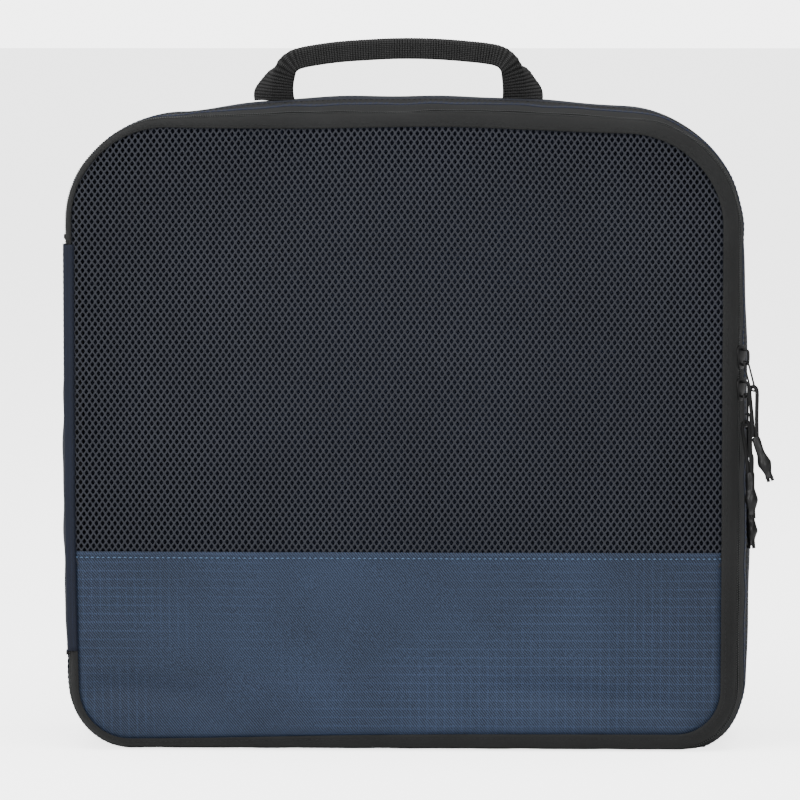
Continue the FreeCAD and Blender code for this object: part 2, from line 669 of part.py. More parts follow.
def cord_tube(name, place):
    """The cord: straight runs joined by tangent arcs, and a round section swept along them."""
    points = [Vector(out, 0, up) for out, up in CORD_ROUTE]
    edges, radii = [], []
    start = points[0]
    for before, corner, after in zip(points, points[1:], points[2:]):
        one, two = (before - corner), (after - corner)
        turn = math.pi - one.getAngle(two)
        radius = ARC_SHARE * min(one.Length, two.Length) / math.tan(turn / 2)
        radii.append(radius)
        reach = radius * math.tan(turn / 2)
        enter = corner + Vector(one).normalize() * reach
        leave = corner + Vector(two).normalize() * reach
        inward = (Vector(one).normalize() + Vector(two).normalize()).normalize()
        middle = corner + inward * (radius / math.cos(turn / 2) - radius)
        edges.append(Part.LineSegment(start, enter).toShape())
        edges.append(Part.Arc(enter, middle, leave).toShape())
        start = leave
    edges.append(Part.LineSegment(start, points[-1]).toShape())
    path = Part.Wire(edges)
    radius = size["cord_diameter"] / 2
    section = Part.Wire(Part.makeCircle(radius, points[0], points[1] - points[0]))
    tube = path.makePipeShell([section], True, False)
    cord = doc.addObject("Part::Feature", name)
    cord.Label = name
    cord.Shape = tube
    cord.Placement = place
    share = tube.Volume / (math.pi * radius**2 * path.Length)
    print(name, "length", round(path.Length, 1), "volume share", round(share, 3))
    print(name, "radii", [round(r, 1) for r in radii])


def sleeve(name, place):
    """The shrink sleeve, wider over the knot."""
    body = new_body(name)
    sketch = new_sketch(body, "XZ_Plane", "0")
    narrow, wide, long = size["sleeve_radius"], size["knot_radius"], size["sleeve_length"]
    outline = [
        (0, 0),
        (narrow, 0),
        (narrow, -0.42 * long),
        (wide, -0.58 * long),
        (wide, -0.7 * long),
        (narrow, -0.86 * long),
        (narrow, -long),
        (0, -long),
    ]
    for step, point in enumerate(outline):
        after = outline[(step + 1) % len(outline)]
        sketch.addGeometry(Part.LineSegment(Vector(*point, 0), Vector(*after, 0)))
        sketch.addConstraint(Sketcher.Constraint("Block", step))
    turned = body.newObject("PartDesign::Revolution", f"{name}_turned")
    turned.Profile = sketch
    turned.ReferenceAxis = (sketch, ["V_Axis"])
    turned.Angle = 360
    body.Placement = place


def pulls():
    for name, height, zip_name, *angles in PULLS:
        slider, wire, cord, end = slider_frames(zip_name, size[height], *angles)
        slider_body(f"{name}_slider", slider)
        slider_bridge(f"{name}_slider_bridge", slider)
        wire_loop(f"{name}_pull_wire", wire)
        cord_tube(f"{name}_pull_cord", cord)
        sleeve(f"{name}_pull_sleeve", end)
        for what, place in (("pin", wire), ("ring", cord)):
            axis = slider.Rotation.multVec(Vector(0, 1, 0))
            spot = [round(c, 3) for c in place.Base]
            print(name, what, spot, "axis", [round(c, 5) for c in axis])


# The handle.


def handle_webbing():
    """One webbing, folded lengthwise at the grip and spread at its two feet."""
    shift, inner = size["handle_shift"], size["foot_half_gap"]
    outer = inner + size["webbing_width"]
    pivot = handle_pivot().z
    low = pivot - size["pivot_height"] + size["handle_clear"]
    high = pivot + size["handle_height"]
    under = high - size["grip_height"]
    shoulder = outer - size["handle_lean"]
    corner = size["handle_corner"]
    half = [(outer, low), (shoulder, high - size["handle_corner_drop"]), (shoulder - corner, high)]
    inside = [(inner - corner, under), (inner, low)]
    right = [inside[1], *half]
    left = [(-x, z) for x, z in reversed(right)]
    gap = [(-inside[0][0], under), inside[0]]
    outline = [(x + shift, z) for x, z in right + left + gap]
    back = number(f"{FACE} + Sizes.handle_back") + size["handle_wall"] / 2
    prism("handle_webbing", "XZ_Plane", outline, str(-back), "Sizes.handle_wall")


def handle_pivot():
    y = number(f"{FACE} + Sizes.handle_back")
    z = gusset_top_at(y) + size["webbing_wall"] + size["pivot_height"]
    return Vector(size["handle_shift"], y, z)


def build():
    back_panel()
    main_gusset()
    back_seam_binding()
    expansion_rear_tape()
    expansion_rear_coil()
    handle_feet()
    expansion_zip_garage()
    centre_strip()
    main_rear_tape()
    main_rear_coil()
    frame_lap()
    expansion_front_tape()
    expansion_front_coil()
    expansion_pleat()
    hinge_panel()
    main_zip_stops()
    door_tape()
    door_coil()
    face_panel("mesh_panel", "-10", "Sizes.pocket_top")
    face_panel("lower_panel", "Sizes.pocket_top", "Sizes.body_height + 20")
    door_hinge_strip()
    door_seam_binding()
    pulls()
    handle_webbing()
    print("handle pivot", handle_pivot())
    doc.recompute()


SUB_PARTS = [
    "back_panel",
    "main_gusset",
    "back_seam_binding",
    "expansion_zip_rear_tape",
    "expansion_zip_rear_coil",
    "handle_foot_left",
    "handle_foot_right",
    "expansion_zip_garage",
    "centre_strip",
    "main_zip_rear_tape",
    "main_zip_rear_coil",
    "frame_seam_binding",
    "expansion_zip_front_tape",
    "expansion_zip_front_coil",
    "expansion_pleat",
    "hinge_panel",
    "main_zip_stops",
    "main_zip_front_tape",
    "main_zip_front_coil",
    "mesh_panel",
    "lower_panel",
    "door_hinge_strip",
    "door_seam_binding",
    "handle_webbing",
] + [
    f"{name}_{piece}"
    for name, *_ in PULLS
    for piece in ("slider", "slider_bridge", "pull_wire", "pull_cord", "pull_sleeve")
]


def write_parts():
    """Checks every object and every sub-part's shape, then writes the files."""
    for thing in doc.Objects:
        if {"Invalid", "Error"} & set(thing.State):
            raise RuntimeError(f"{thing.Name} is {thing.State}")
    shapes = {}
    for name in SUB_PARTS:
        shape = doc.getObjectsByLabel(name)[0].Shape
        if shape.isNull() or not shape.isValid() or shape.Volume <= 0:
            raise RuntimeError(f"{name} has no sound shape")
        shapes[name] = shape
    os.makedirs("parts", exist_ok=True)
    for name, shape in shapes.items():
        shape.exportStep(f"parts/{name}.step")
        print(name, len(shape.Solids), round(shape.Volume, 1))


build()
write_parts()
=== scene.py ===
"""Looks of a soft packing cube with a mesh door, built round its packed CAD frame."""

import math

import bmesh
import bpy
import numpy as np
from mathutils import Matrix, Vector


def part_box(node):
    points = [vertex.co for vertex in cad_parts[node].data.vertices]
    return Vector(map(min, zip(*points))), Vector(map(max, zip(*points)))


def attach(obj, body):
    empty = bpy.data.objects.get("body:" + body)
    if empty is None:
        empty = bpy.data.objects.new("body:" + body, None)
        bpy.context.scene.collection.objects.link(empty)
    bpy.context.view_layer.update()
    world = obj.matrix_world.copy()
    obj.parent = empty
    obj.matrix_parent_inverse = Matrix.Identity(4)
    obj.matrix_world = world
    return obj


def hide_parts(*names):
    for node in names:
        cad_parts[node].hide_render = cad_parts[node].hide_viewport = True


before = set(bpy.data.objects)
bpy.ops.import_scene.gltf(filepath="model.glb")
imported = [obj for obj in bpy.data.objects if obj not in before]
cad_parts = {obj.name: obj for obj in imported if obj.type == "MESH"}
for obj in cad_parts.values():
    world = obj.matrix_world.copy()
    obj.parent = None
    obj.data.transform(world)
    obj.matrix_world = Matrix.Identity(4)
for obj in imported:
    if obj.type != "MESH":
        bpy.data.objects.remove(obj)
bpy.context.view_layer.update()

bl_info = {
    "name": "Packing cube",
    "version": (1, 0, 0),
    "blender": (4, 5, 0),
    "location": "View3D > Sidebar > Cube",
    "description": "Builds a packing cube's cloth, zips, pulls and handle",
    "category": "Object",
}

MM = 0.001
FULL_TURN = 2 * math.pi

FOOT_TAPER_LEFT, FOOT_TAPER_RIGHT, TAPER_HEIGHT = 0.013, 0.003, 0.13
CROWN_WIDTH, CROWN_START, CROWN_RISE = 0.085, 0.12, 0.18
FLOOR_CLEAR = 0.0002
# Dips of the zip line along the top: place, width and depth.
LINE_DIPS = ((-0.006, 0.024, 1.6 * MM), (0.112, 0.020, 1.2 * MM))
DIP_REACH, DIP_BELOW_TOP = 7 * MM, 20 * MM


def number_prop(name, description, default, unit="LENGTH"):
    return bpy.props.FloatProperty(
        name=name, description=description, default=default, unit=unit, precision=5
    )


class CubeBody(bpy.types.PropertyGroup):
    """The walls' outline, seen from the front, and their depth."""

    half_width: number_prop("Half width", "Middle to the zip line at each side", 0.167)
    bottom: number_prop("Bottom", "Height of the zip line at the bottom", 0.001)
    top: number_prop("Top", "Height of the zip line at the top", 0.319)
    top_radius: number_prop("Top right radius", "Zip line's upper right corner", 0.055)
    top_left_radius: number_prop("Top left radius", "Zip line's upper left corner", 0.052)
    bottom_radius: number_prop("Bottom corner radius", "Zip line's lower corners", 0.030)
    face: number_prop("Face", "Depth of the door's face", -0.045)
    main_zip: number_prop("Main zip", "Depth of the main zip's line", -0.038)
    expansion_zip: number_prop("Expansion zip", "Depth of the expansion zip's line", -0.013)
    back: number_prop("Back", "Depth of the back panel", 0.045)
    crown: number_prop("Crown", "How far the top falls away to its corners", 0.0042)
    crown_middle: number_prop("Crown's middle", "Where the top is highest", 0.006)
    hinge_low: number_prop("Hinge bottom", "Lower end of the cloth hinge", 0.050)
    hinge_high: number_prop("Hinge top", "Upper end of the cloth hinge", 0.255)


class CubeCloth(bpy.types.PropertyGroup):
    """Cloth, mesh and stitches."""

    thickness: number_prop("Cloth", "Thickness of the woven cloth", 0.0005)
    tape_thickness: number_prop("Tape", "Thickness of the zip tapes", 0.0007)
    tape_reach: number_prop("Tape reach", "How far the door's tape reaches in over the mesh", 0.0080)
    step: number_prop("Cloth step", "Grid step along the cloth", 0.0025)
    mesh_pitch: number_prop("Mesh pitch", "Hole to hole across", 0.0031)
    mesh_row: number_prop("Mesh row", "Row to row", 0.00228)
    mesh_thickness: number_prop("Mesh thickness", "Thickness of the knitted mesh", 0.0005)
    bulge: number_prop("Bulge", "How far the door stands out in its middle", 0.0024)
    panel_top: number_prop("Panel top", "Top of the solid lower panel", 0.100)
    stitch_pitch: number_prop("Stitch pitch", "Stitch to stitch", 0.0027)
    tick_pitch: number_prop("Coil pitch", "Coil turn to coil turn", 0.00117)


class CubePulls(bpy.types.PropertyGroup):
    """Sliders, wires, cords and sleeves."""

    tilt: number_prop("Tilt", "Main sliders' turn to the front", math.radians(28), "ROTATION")
    pin_out: number_prop("Pin out", "Zip line to the wire's pin", 0.00375)
    pin_low: number_prop("Pin low", "Slider's middle to the wire's pin", 0.00215)
    wire_reach: number_prop("Wire reach", "Pin to the wire's lower bend", 0.016)
    wire_radius: number_prop("Wire radius", "Radius of the pull wire", 0.0005)
    wire_half: number_prop("Wire half width", "Half the wire loop's width", 0.0024)
    cord_drop: number_prop("Cord drop", "Wire's bend to the sleeve's mouth", 0.023)
    cord_width: number_prop("Cord", "Diameter of the cord", 0.002)
    cord_length: number_prop("Cord length", "Length of the cord that shows", 0.0529)
    sleeve_length: number_prop("Sleeve", "Length of the shrink sleeve", 0.0215)
    sleeve_radius: number_prop("Sleeve radius", "Radius of the shrink sleeve", 0.0022)


class CubeView(bpy.types.PropertyGroup):
    """Camera and light."""

    azimuth: number_prop("Azimuth", "Camera's turn to the right", math.radians(1.5), "ROTATION")
    elevation: number_prop("Elevation", "Camera's height as an angle", math.radians(4.6), "ROTATION")
    distance: number_prop("Distance", "Camera to the aim", 2.4)
    aim_x: number_prop("Aim across", "Aim point across", -0.0008)
    aim_y: number_prop("Aim depth", "Aim point's depth", -0.045)
    aim_z: number_prop("Aim height", "Aim point's height", 0.1758)
    field: number_prop("Field", "Width seen at the aim", 0.3965)


GROUPS = {"cube_body": CubeBody, "cube_cloth": CubeCloth, "cube_pulls": CubePulls, "cube_view": CubeView}


def body_sizes():
    return bpy.context.scene.cube_body


def cloth_sizes():
    return bpy.context.scene.cube_cloth


def pull_sizes():
    return bpy.context.scene.cube_pulls


# Shapes.


def smooth(x, knots, values):
    """A smooth curve through hand-chosen points."""
    k, v = np.asarray(knots, float), np.asarray(values, float)
    x = np.clip(x, k[0], k[-1])
    slope = np.gradient(v, k)
    i = np.clip(np.searchsorted(k, x) - 1, 0, len(k) - 2)
    h = k[i + 1] - k[i]
    t = (x - k[i]) / h
    start = (1 + 2 * t) * (1 - t) ** 2 * v[i] + t * (1 - t) ** 2 * h * slope[i]
    return start + t * t * (3 - 2 * t) * v[i + 1] + t * t * (t - 1) * h * slope[i + 1]


def ripple(x, *waves):
    """A sum of waves, each (length, height, phase)."""
    return sum(height * np.sin(FULL_TURN * x / length + phase) for length, height, phase in waves)


def outline_points():
    """The outline's points, outward normals and arc length, from the bottom's middle by the right."""
    b = body_sizes()
    points, normals = [(0.0, b.bottom)], [(0.0, -1.0)]
    low = b.bottom_radius
    for side_x, height, radius, first in (
        (1, b.bottom + low, low, -90),
        (1, b.top - b.top_radius, b.top_radius, 0),
        (-1, b.top - b.top_left_radius, b.top_left_radius, 90),
        (-1, b.bottom + low, low, 180),
    ):
        for angle in np.radians(np.linspace(first, first + 90, 48)):
            c, s = math.cos(angle), math.sin(angle)
            across = side_x * (b.half_width - radius)
            points.append((across + radius * c, height + radius * s))
            normals.append((c, s))
    points.append(points[0])
    normals.append(normals[0])
    points, normals = np.array(points), np.array(normals)
    run = np.concatenate([[0], np.cumsum(np.linalg.norm(np.diff(points, axis=0), axis=1))])
    return points, normals, run


def outline_at(along):
    """Place and outward normal on the outline at arc lengths `along`."""
    points, normals, run = outline_points()
    s = np.mod(along, run[-1])
    place = np.stack([np.interp(s, run, points[:, i]) for i in (0, 1)], -1)
    normal = np.stack([np.interp(s, run, normals[:, i]) for i in (0, 1)], -1)
    return place, normal / np.linalg.norm(normal, axis=-1, keepdims=True)


def outline_length():
    return outline_points()[2][-1]


def left_at(height):
    """Arc length of a place on the straight left side."""
    b = body_sizes()
    corner = b.half_width - b.bottom_radius + b.bottom_radius * math.pi / 2
    return outline_length() - corner - (height - b.bottom - b.bottom_radius)


def by_side(x, z, turns, values):
    """A smooth value by the direction from the door's middle, in degrees from the right."""
    b = body_sizes()
    angle = np.degrees(np.arctan2(z - (b.top + b.bottom) / 2, x))
    return smooth(angle, turns, values)


def tape_reach(x, z):
    """How far the door's tape reaches in over the mesh: least at the upper left."""
    turns = (-180, -150, -130, -100, -45, 0, 45, 75, 105, 120, 135, 155, 180)
    shares = (0.50, 0.54, 0.62, 0.88, 1.0, 1.03, 1.0, 0.97, 0.95, 0.70, 0.42, 0.42, 0.50)
    return by_side(x, z, turns, shares) * cloth_sizes().tape_reach


def fullness(x, z):
    """How far the walls fill out behind the door's edge, as a share."""
    turns = (-180, -140, -110, -90, -60, -40, -22, 0, 30, 45, 53, 64, 90, 117, 126, 135, 155, 180)
    shares = (0.8, 0.7, 0.55, 0.7, 1.0, 1.5, 1.5, 1.25, 0.8, 0.7, 0.8, 1.25, 1.05, 1.0, 0.3, 0.1, 0.1, 0.8)
    return by_side(x, z, turns, shares)


def edge_heights(x, inset):
    """The lowest and highest place inside the outline at x."""
    b = body_sizes()
    half = b.half_width - inset

    def drop(radius):
        over = np.clip(np.abs(x) - (half - radius), 0, radius)
        return radius - np.sqrt(radius**2 - over**2)

    upper = np.where(x > 0, b.top_radius, b.top_left_radius) - inset
    return b.bottom + inset + drop(b.bottom_radius - inset), b.top - inset - drop(upper)


def edge_gap(x, z):
    """How far a place is inside the outline."""
    b = body_sizes()
    middle, tall = (b.top + b.bottom) / 2, (b.top - b.bottom) / 2
    upper = np.where(x > 0, b.top_radius, b.top_left_radius)
    radius = np.where(z > middle, upper, b.bottom_radius)
    over_x = np.abs(x) - (b.half_width - radius)
    over_z = np.abs(z - middle) - (tall - radius)
    outside = np.hypot(np.maximum(over_x, 0), np.maximum(over_z, 0))
    return radius - np.minimum(np.maximum(over_x, over_z), 0) - outside


def tuck(x, z, depth, soft):
    """How far cloth goes back to lie under the door's tape."""
    over = edge_gap(x, z) - tape_reach(x, z)
    return depth * np.clip(1 - over / soft, 0, 1) ** 1.5 + 0.55 * np.maximum(-over, 0)


def line_dip(x, z, depth):
    """Where the zip line is drawn in along the top, as an outset."""
    b = body_sizes()
    near = np.clip(1 - np.abs(depth - b.main_zip) / DIP_REACH, 0, 1) * (z > b.top - DIP_BELOW_TOP)
    return -near * sum(deep * np.exp(-(((x - place) / wide) ** 2)) for place, wide, deep in LINE_DIPS)


def door_tape_span():
    """The depths of the door tape's front edge and of its edge at the zip."""
    b = body_sizes()
    return b.face - 0.5 * MM, b.main_zip - 0.8 * MM


def door_tape_outset(along, depth):
    """The door's tape, a quarter round from the zip line to the mesh."""
    place, _ = outline_at(along)
    front, line = door_tape_span()
    forward = np.clip((line - depth) / (line - front), 0, 1)
    return -tape_reach(*place.T) * (1 - np.sqrt(1 - forward**2)) + line_dip(*place.T, depth)


def settle(points):
    """Sags the cloth: the top falls away to its corners, the foot draws in and stays on the floor."""
    b = body_sizes()
    x, y, z = points.T
    taper = np.where(x < 0, FOOT_TAPER_LEFT, FOOT_TAPER_RIGHT)
    x = x * (1 - taper * np.clip((TAPER_HEIGHT - z) / TAPER_HEIGHT, 0, 1) ** 1.5)
    share = 1 - np.exp(-(((x - b.crown_middle) / CROWN_WIDTH) ** 2))
    z = z - b.crown * share * np.clip((z - CROWN_START) / CROWN_RISE, 0, 1) ** 2
    return np.stack([x, y, np.maximum(z, FLOOR_CLEAR)], -1)


def wall_outset(along, depth):
    """How far the wall stands out from the outline at a depth, with the slack between its seams."""
    mm = smooth(
        depth / MM,
        (-38.8, -38, -36, -30, -25.5, -20, -14.5, -12.9, -8, 0, 10, 25, 38, 45),
        (0.0, 0.1, 0.8, 2.3, 2.9, 3.0, 2.3, 2.1, 3.2, 4.7, 5.3, 4.4, 2.5, 0.6),
    )
    slack = np.clip((depth + 0.012) / 0.02, 0, 1) * np.clip((0.045 - depth) / 0.02, 0, 1)
    front = np.clip((depth + 0.040) / 0.006, 0, 1) * np.clip((-0.013 - depth) / 0.006, 0, 1)
    waves = ripple(along, (0.310, 0.5, 1.0), (0.127, 0.45, 2.1), (0.049, 0.22, 0.4))
    puckers = ripple(along, (0.037, 0.22, 0.3), (0.0231, 0.14, 1.2))
    place, _ = outline_at(along)
    filled = (mm * fullness(*place.T) + slack * waves + front * puckers) * MM
    return filled + line_dip(*place.T, depth)


def pleat_outset(along, _depth):
    """The pleat lies flat under both tapes, so that it can slide out."""
    return np.full(len(along), -1.5 * MM) + ripple(along, (0.155, 0.15, 0.2), (0.071, 0.1, 2.0)) * MM


def face_depth(x, z):
    """The depth of the door's face."""
    b, c = body_sizes(), cloth_sizes()
    across = np.clip(1 - (x / b.half_width) ** 2, 0, 1)
    middle, half = (b.top + b.bottom) / 2, (b.top - b.bottom) / 2
    up = np.clip(1 - ((z - middle) / half) ** 2, 0, 1)
    return b.face + 0.4 * MM - c.bulge * (across * up) ** 0.8


# Meshes.


def make_object(name, data):
    made = bpy.data.objects.new(name, data)
    bpy.context.scene.collection.objects.link(made)
    return made


def make_mesh(name, points, faces, material, uv=None):
    """A smooth mesh; `uv` gives each point's place on the cloth in metres."""
    mesh = bpy.data.meshes.new(name)
    mesh.from_pydata([tuple(p) for p in points], [], [tuple(f) for f in faces])
    if uv is not None:
        corners = np.empty(len(mesh.loops), dtype=np.int32)
        mesh.loops.foreach_get("vertex_index", corners)
        layer = mesh.uv_layers.new(name="cloth")
        layer.data.foreach_set("uv", np.asarray(uv, float)[corners].ravel())
    mesh.materials.append(material)
    mesh.shade_smooth()
    return make_object(name, mesh)


def bake(piece):
    """Replaces a piece by its own mesh with all modifiers applied."""
    graph = bpy.context.evaluated_depsgraph_get()
    mesh = bpy.data.meshes.new_from_object(piece.evaluated_get(graph))
    made = make_object(piece.name + "_made", mesh)
    name = piece.name
    bpy.data.objects.remove(piece)
    made.name = name
    return made


def move_points(piece, change):
    """Passes a mesh's points through a function."""
    mesh = piece.data
    points = np.empty(len(mesh.vertices) * 3)
    mesh.vertices.foreach_get("co", points)
    mesh.vertices.foreach_set("co", change(points.reshape(-1, 3)).ravel())
    mesh.update()


def thicken(piece, thickness, offset=-1.0):
    solid = piece.modifiers.new("thickness", "SOLIDIFY")
    solid.thickness = thickness
    solid.offset = offset
    solid.use_even_offset = True
    return bake(piece)


def grid_faces(rows, columns, closed=False, flip=False):
    """Quads of a grid; `closed` joins the last column to the first."""
    faces = []
    for r in range(rows - 1):
        for c in range(columns if closed else columns - 1):
            after = (c + 1) % columns
            quad = (r * columns + c, r * columns + after, (r + 1) * columns + after, (r + 1) * columns + c)
            faces.append(quad[::-1] if flip else quad)
    return faces


def refine(stations, step):
    """Splits a profile's pieces into steps."""
    stations = np.asarray(stations, float)
    fine = []
    for a, b in zip(stations[:-1], stations[1:]):
        count = max(1, math.ceil(np.linalg.norm(b - a) / step))
        fine.extend(a + (b - a) * t for t in np.arange(count) / count)
    fine.append(stations[-1])
    return np.array(fine)


def strip(name, material, start, stop, stations, thickness, surface=None, lift=0.0):
    """Cloth round the cube between two arc lengths; `stations` are (outset, depth), front to back."""
    closed = abs(stop - start - outline_length()) < 1e-6
    count = max(4, math.ceil((stop - start) / cloth_sizes().step))
    along = start + (stop - start) * np.arange(count + (0 if closed else 1)) / count
    place, normal = outline_at(along)
    columns, points, uv, run, before = len(along), [], [], 0.0, None
    for out, back in stations:
        depth = np.full(columns, back)
        outset = (np.zeros(columns) if surface is None else surface(along, depth)) + out + lift
        flat = np.stack([outset, depth], -1)
        run += 0 if before is None else float(np.linalg.norm(flat - before, axis=1).mean())
        before = flat
        xz = place + normal * outset[:, None]
        points.append(np.stack([xz[:, 0], depth, xz[:, 1]], -1))
        uv.append(np.stack([along, np.full(columns, run)], -1))
    faces = grid_faces(len(points), columns, closed, flip=True)
    made = make_mesh(name, np.concatenate(points), faces, material, np.concatenate(uv))
    made = thicken(made, thickness)
    move_points(made, settle)
    return made, (stop - start, run)


def on_wall(first, last, step=1.2 * MM):
    """Stations that follow the wall from one depth to another."""
    count = max(2, math.ceil((last - first) / step) + 1)
    return [(0.0, depth) for depth in np.linspace(first, last, count)]


def panel(name, material, inset, depth, thickness, top=None, step=3.0 * MM, outward=-1):
    """A flat panel inside the outline; `depth` gives its depth at (x, z)."""
    b = body_sizes()
    half = b.half_width - inset
    turn = np.sin(np.linspace(-1, 1, math.ceil(2 * half / step)) * math.pi / 2)
    across = half * (0.6 * turn + 0.4 * np.linspace(-1, 1, len(turn)))
    low, high = edge_heights(across, inset)
    if top is not None:
        high = np.minimum(high, top)
    rows = math.ceil((high - low).max() / step) + 1
    share = np.linspace(0, 1, rows)[:, None]
    z = low + (high - low) * share
    x = np.broadcast_to(across, z.shape)
    points = np.stack([x, depth(x, z), z], -1).reshape(-1, 3)
    uv = points[:, [0, 2]]
    made = make_mesh(name, points, grid_faces(rows, len(across), flip=outward > 0), material, uv)
    made = thicken(made, thickness)
    move_points(made, settle)
    return made, (2 * half, float((high - low).max()))


def line_object(name, points):
    """A bare line that a node tree follows."""
    mesh = bpy.data.meshes.new(name)
    mesh.from_pydata([tuple(p) for p in points], [(i, i + 1) for i in range(len(points) - 1)], [])
    return make_object(name, mesh)


def tube(name, material, points, radius, sides=10, closed=False):
    """A round tube on a smooth line."""
    data = bpy.data.curves.new(name, "CURVE")
    data.dimensions = "3D"
    data.bevel_depth = radius
    data.bevel_resolution = max(1, sides // 4)
    data.use_fill_caps = not closed
    data.resolution_u = 6
    spline = data.splines.new("NURBS")
    spline.points.add(len(points) - 1)
    for spot, point in zip(spline.points, points):
        spot.co = (*point, 1)
    spline.order_u = 3
    spline.use_endpoint_u = not closed
    spline.use_cyclic_u = closed
    data.materials.append(material)
    made = bake(make_object(name, data))
    made.data.shade_smooth()
    return made


def bevelled(name, material, outline, low, high, bevel, place):
    """A plate: an outline of (across, up) between two heights, its edges rounded, put at `place`."""
    shape = bmesh.new()
    lower = [shape.verts.new((low, y, z)) for y, z in outline]
    upper = [shape.verts.new((high, y, z)) for y, z in outline]
    shape.faces.new(lower[::-1])
    shape.faces.new(upper)
    for i in range(len(outline)):
        j = (i + 1) % len(outline)
        shape.faces.new((lower[i], lower[j], upper[j], upper[i]))
    bmesh.ops.recalc_face_normals(shape, faces=shape.faces)
    rims = [e for e in shape.edges if abs(e.verts[0].co.x - e.verts[1].co.x) < 1e-9]
    bmesh.ops.bevel(shape, geom=rims, offset=bevel, segments=3, affect="EDGES", profile=0.5)
    shape.transform(place)
    mesh = bpy.data.meshes.new(name)
    shape.to_mesh(mesh)
    shape.free()
    mesh.materials.append(material)
    mesh.shade_smooth()
    return make_object(name, mesh)


def join(name, pieces):
    """One piece from several."""
    shape = bmesh.new()
    for piece in pieces:
        shape.from_mesh(piece.data)
    mesh = bpy.data.meshes.new(name)
    shape.to_mesh(mesh)
    shape.free()
    mesh.materials.append(pieces[0].data.materials[0])
    for piece in pieces:
        bpy.data.objects.remove(piece)
    return make_object(name, mesh)


def install(piece, body, slot, *nodes, flat=None, area=None, others=()):
    """Ties a piece to its CAD body, material slot and the nodes that it stands for."""
    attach(piece, body)
    if nodes:
        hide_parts(*nodes)
    return piece


# Node trees for what repeats.


def new_tree(name, **sockets):
    """A named tree with its inputs."""
    tree = bpy.data.node_groups.new(name, "GeometryNodeTree")
    for label, kind in {"Geometry": "Geometry", **sockets}.items():
        label = label.replace("_", " ")
        tree.interface.new_socket(label, in_out="INPUT", socket_type=f"NodeSocket{kind}")
    tree.interface.new_socket("Geometry", in_out="OUTPUT", socket_type="NodeSocketGeometry")
    return tree, tree.nodes.new("NodeGroupInput").outputs


def tree_node(tree, kind, settings=None, output=0, **inputs):
    """Adds a node and gives one of its outputs; `in_2` is the input with that number."""
    node = tree.nodes.new(kind)
    for key, value in (settings or {}).items():
        setattr(node, key, value)
    for key, value in inputs.items():
        socket = node.inputs[int(key[3:]) if key.startswith("in_") else key.replace("_", " ")]
        if isinstance(value, bpy.types.NodeSocket):
            tree.links.new(value, socket)
        else:
            socket.default_value = value
    return node.outputs[output]


def end_tree(tree, shape, look):
    """Gives what a tree made its material and sends it out."""
    dressed = tree_node(tree, "GeometryNodeSetMaterial", Geometry=shape, Material=look)
    tree.links.new(dressed, tree.nodes.new("NodeGroupOutput").inputs[0])
    return tree


def row_tree():
    """Repeats a small rounded grain along a line."""
    found = bpy.data.node_groups.get("Row of grains")
    if found:
        return found
    tree, given = new_tree(
        "Row of grains",
        Spacing="Float",
        Grain_size="Vector",
        Unevenness="Float",
        Seed="Int",
        Material="Material",
    )
    line = tree_node(tree, "GeometryNodeMeshToCurve", Mesh=given["Geometry"])
    by_length = {"mode": "LENGTH"}
    even = tree_node(tree, "GeometryNodeResampleCurve", by_length, Curve=line, Length=given["Spacing"])
    grain = tree_node(tree, "GeometryNodeMeshUVSphere", Segments=6, Rings=4, Radius=1.0)
    tangent = tree_node(tree, "GeometryNodeInputTangent")
    axes = {"axis": "X", "pivot_axis": "Y"}
    turn = tree_node(tree, "FunctionNodeAlignRotationToVector", axes, Vector=tangent)
    lowest, highest = (
        tree_node(tree, "ShaderNodeMath", {"operation": kind}, in_0=1.0, in_1=given["Unevenness"])
        for kind in ("SUBTRACT", "ADD")
    )
    number = {"data_type": "FLOAT"}
    chance = tree_node(
        tree, "FunctionNodeRandomValue", number, 1, in_2=lowest, in_3=highest, Seed=given["Seed"]
    )
    scale = {"operation": "SCALE"}
    grown = tree_node(tree, "ShaderNodeVectorMath", scale, in_0=given["Grain size"], Scale=chance)
    placed = tree_node(
        tree, "GeometryNodeInstanceOnPoints", Points=even, Instance=grain, Rotation=turn, Scale=grown
    )
    real = tree_node(tree, "GeometryNodeRealizeInstances", Geometry=placed)
    return end_tree(tree, real, given["Material"])


def net_tree():
    """Repeats one cell of the mesh cloth and joins the cells up."""
    found = bpy.data.node_groups.get("Net of cells")
    if found:
        return found
    tree, given = new_tree("Net of cells", Cell="Object", Join_distance="Float", Material="Material")
    cell = tree_node(tree, "GeometryNodeObjectInfo", None, "Geometry", Object=given["Cell"])
    points = tree_node(tree, "GeometryNodeMeshToPoints", Mesh=given["Geometry"])
    placed = tree_node(tree, "GeometryNodeInstanceOnPoints", Points=points, Instance=cell)
    real = tree_node(tree, "GeometryNodeRealizeInstances", Geometry=placed)
    joined = tree_node(tree, "GeometryNodeMergeByDistance", Geometry=real, Distance=given["Join distance"])
    return end_tree(tree, joined, given["Material"])


def run_tree(piece, tree, values):
    """Applies a node tree with its inputs set by name."""
    modifier = piece.modifiers.new(tree.name, "NODES")
    modifier.node_group = tree
    for item in tree.interface.items_tree:
        if item.item_type == "SOCKET" and item.in_out == "INPUT" and item.name in values:
            modifier[item.identifier] = values[item.name]
    return bake(piece)


def grains(name, material, points, spacing, size, seed=1, unevenness=0.12):
    """A row of stitches or coil turns on a line; `size` is (along, across the wall, off the wall)."""
    values = {"Spacing": spacing, "Grain size": size, "Unevenness": unevenness, "Seed": seed}
    made = run_tree(line_object(name, points), row_tree(), {**values, "Material": material})
    made.data.shade_smooth()
    return made


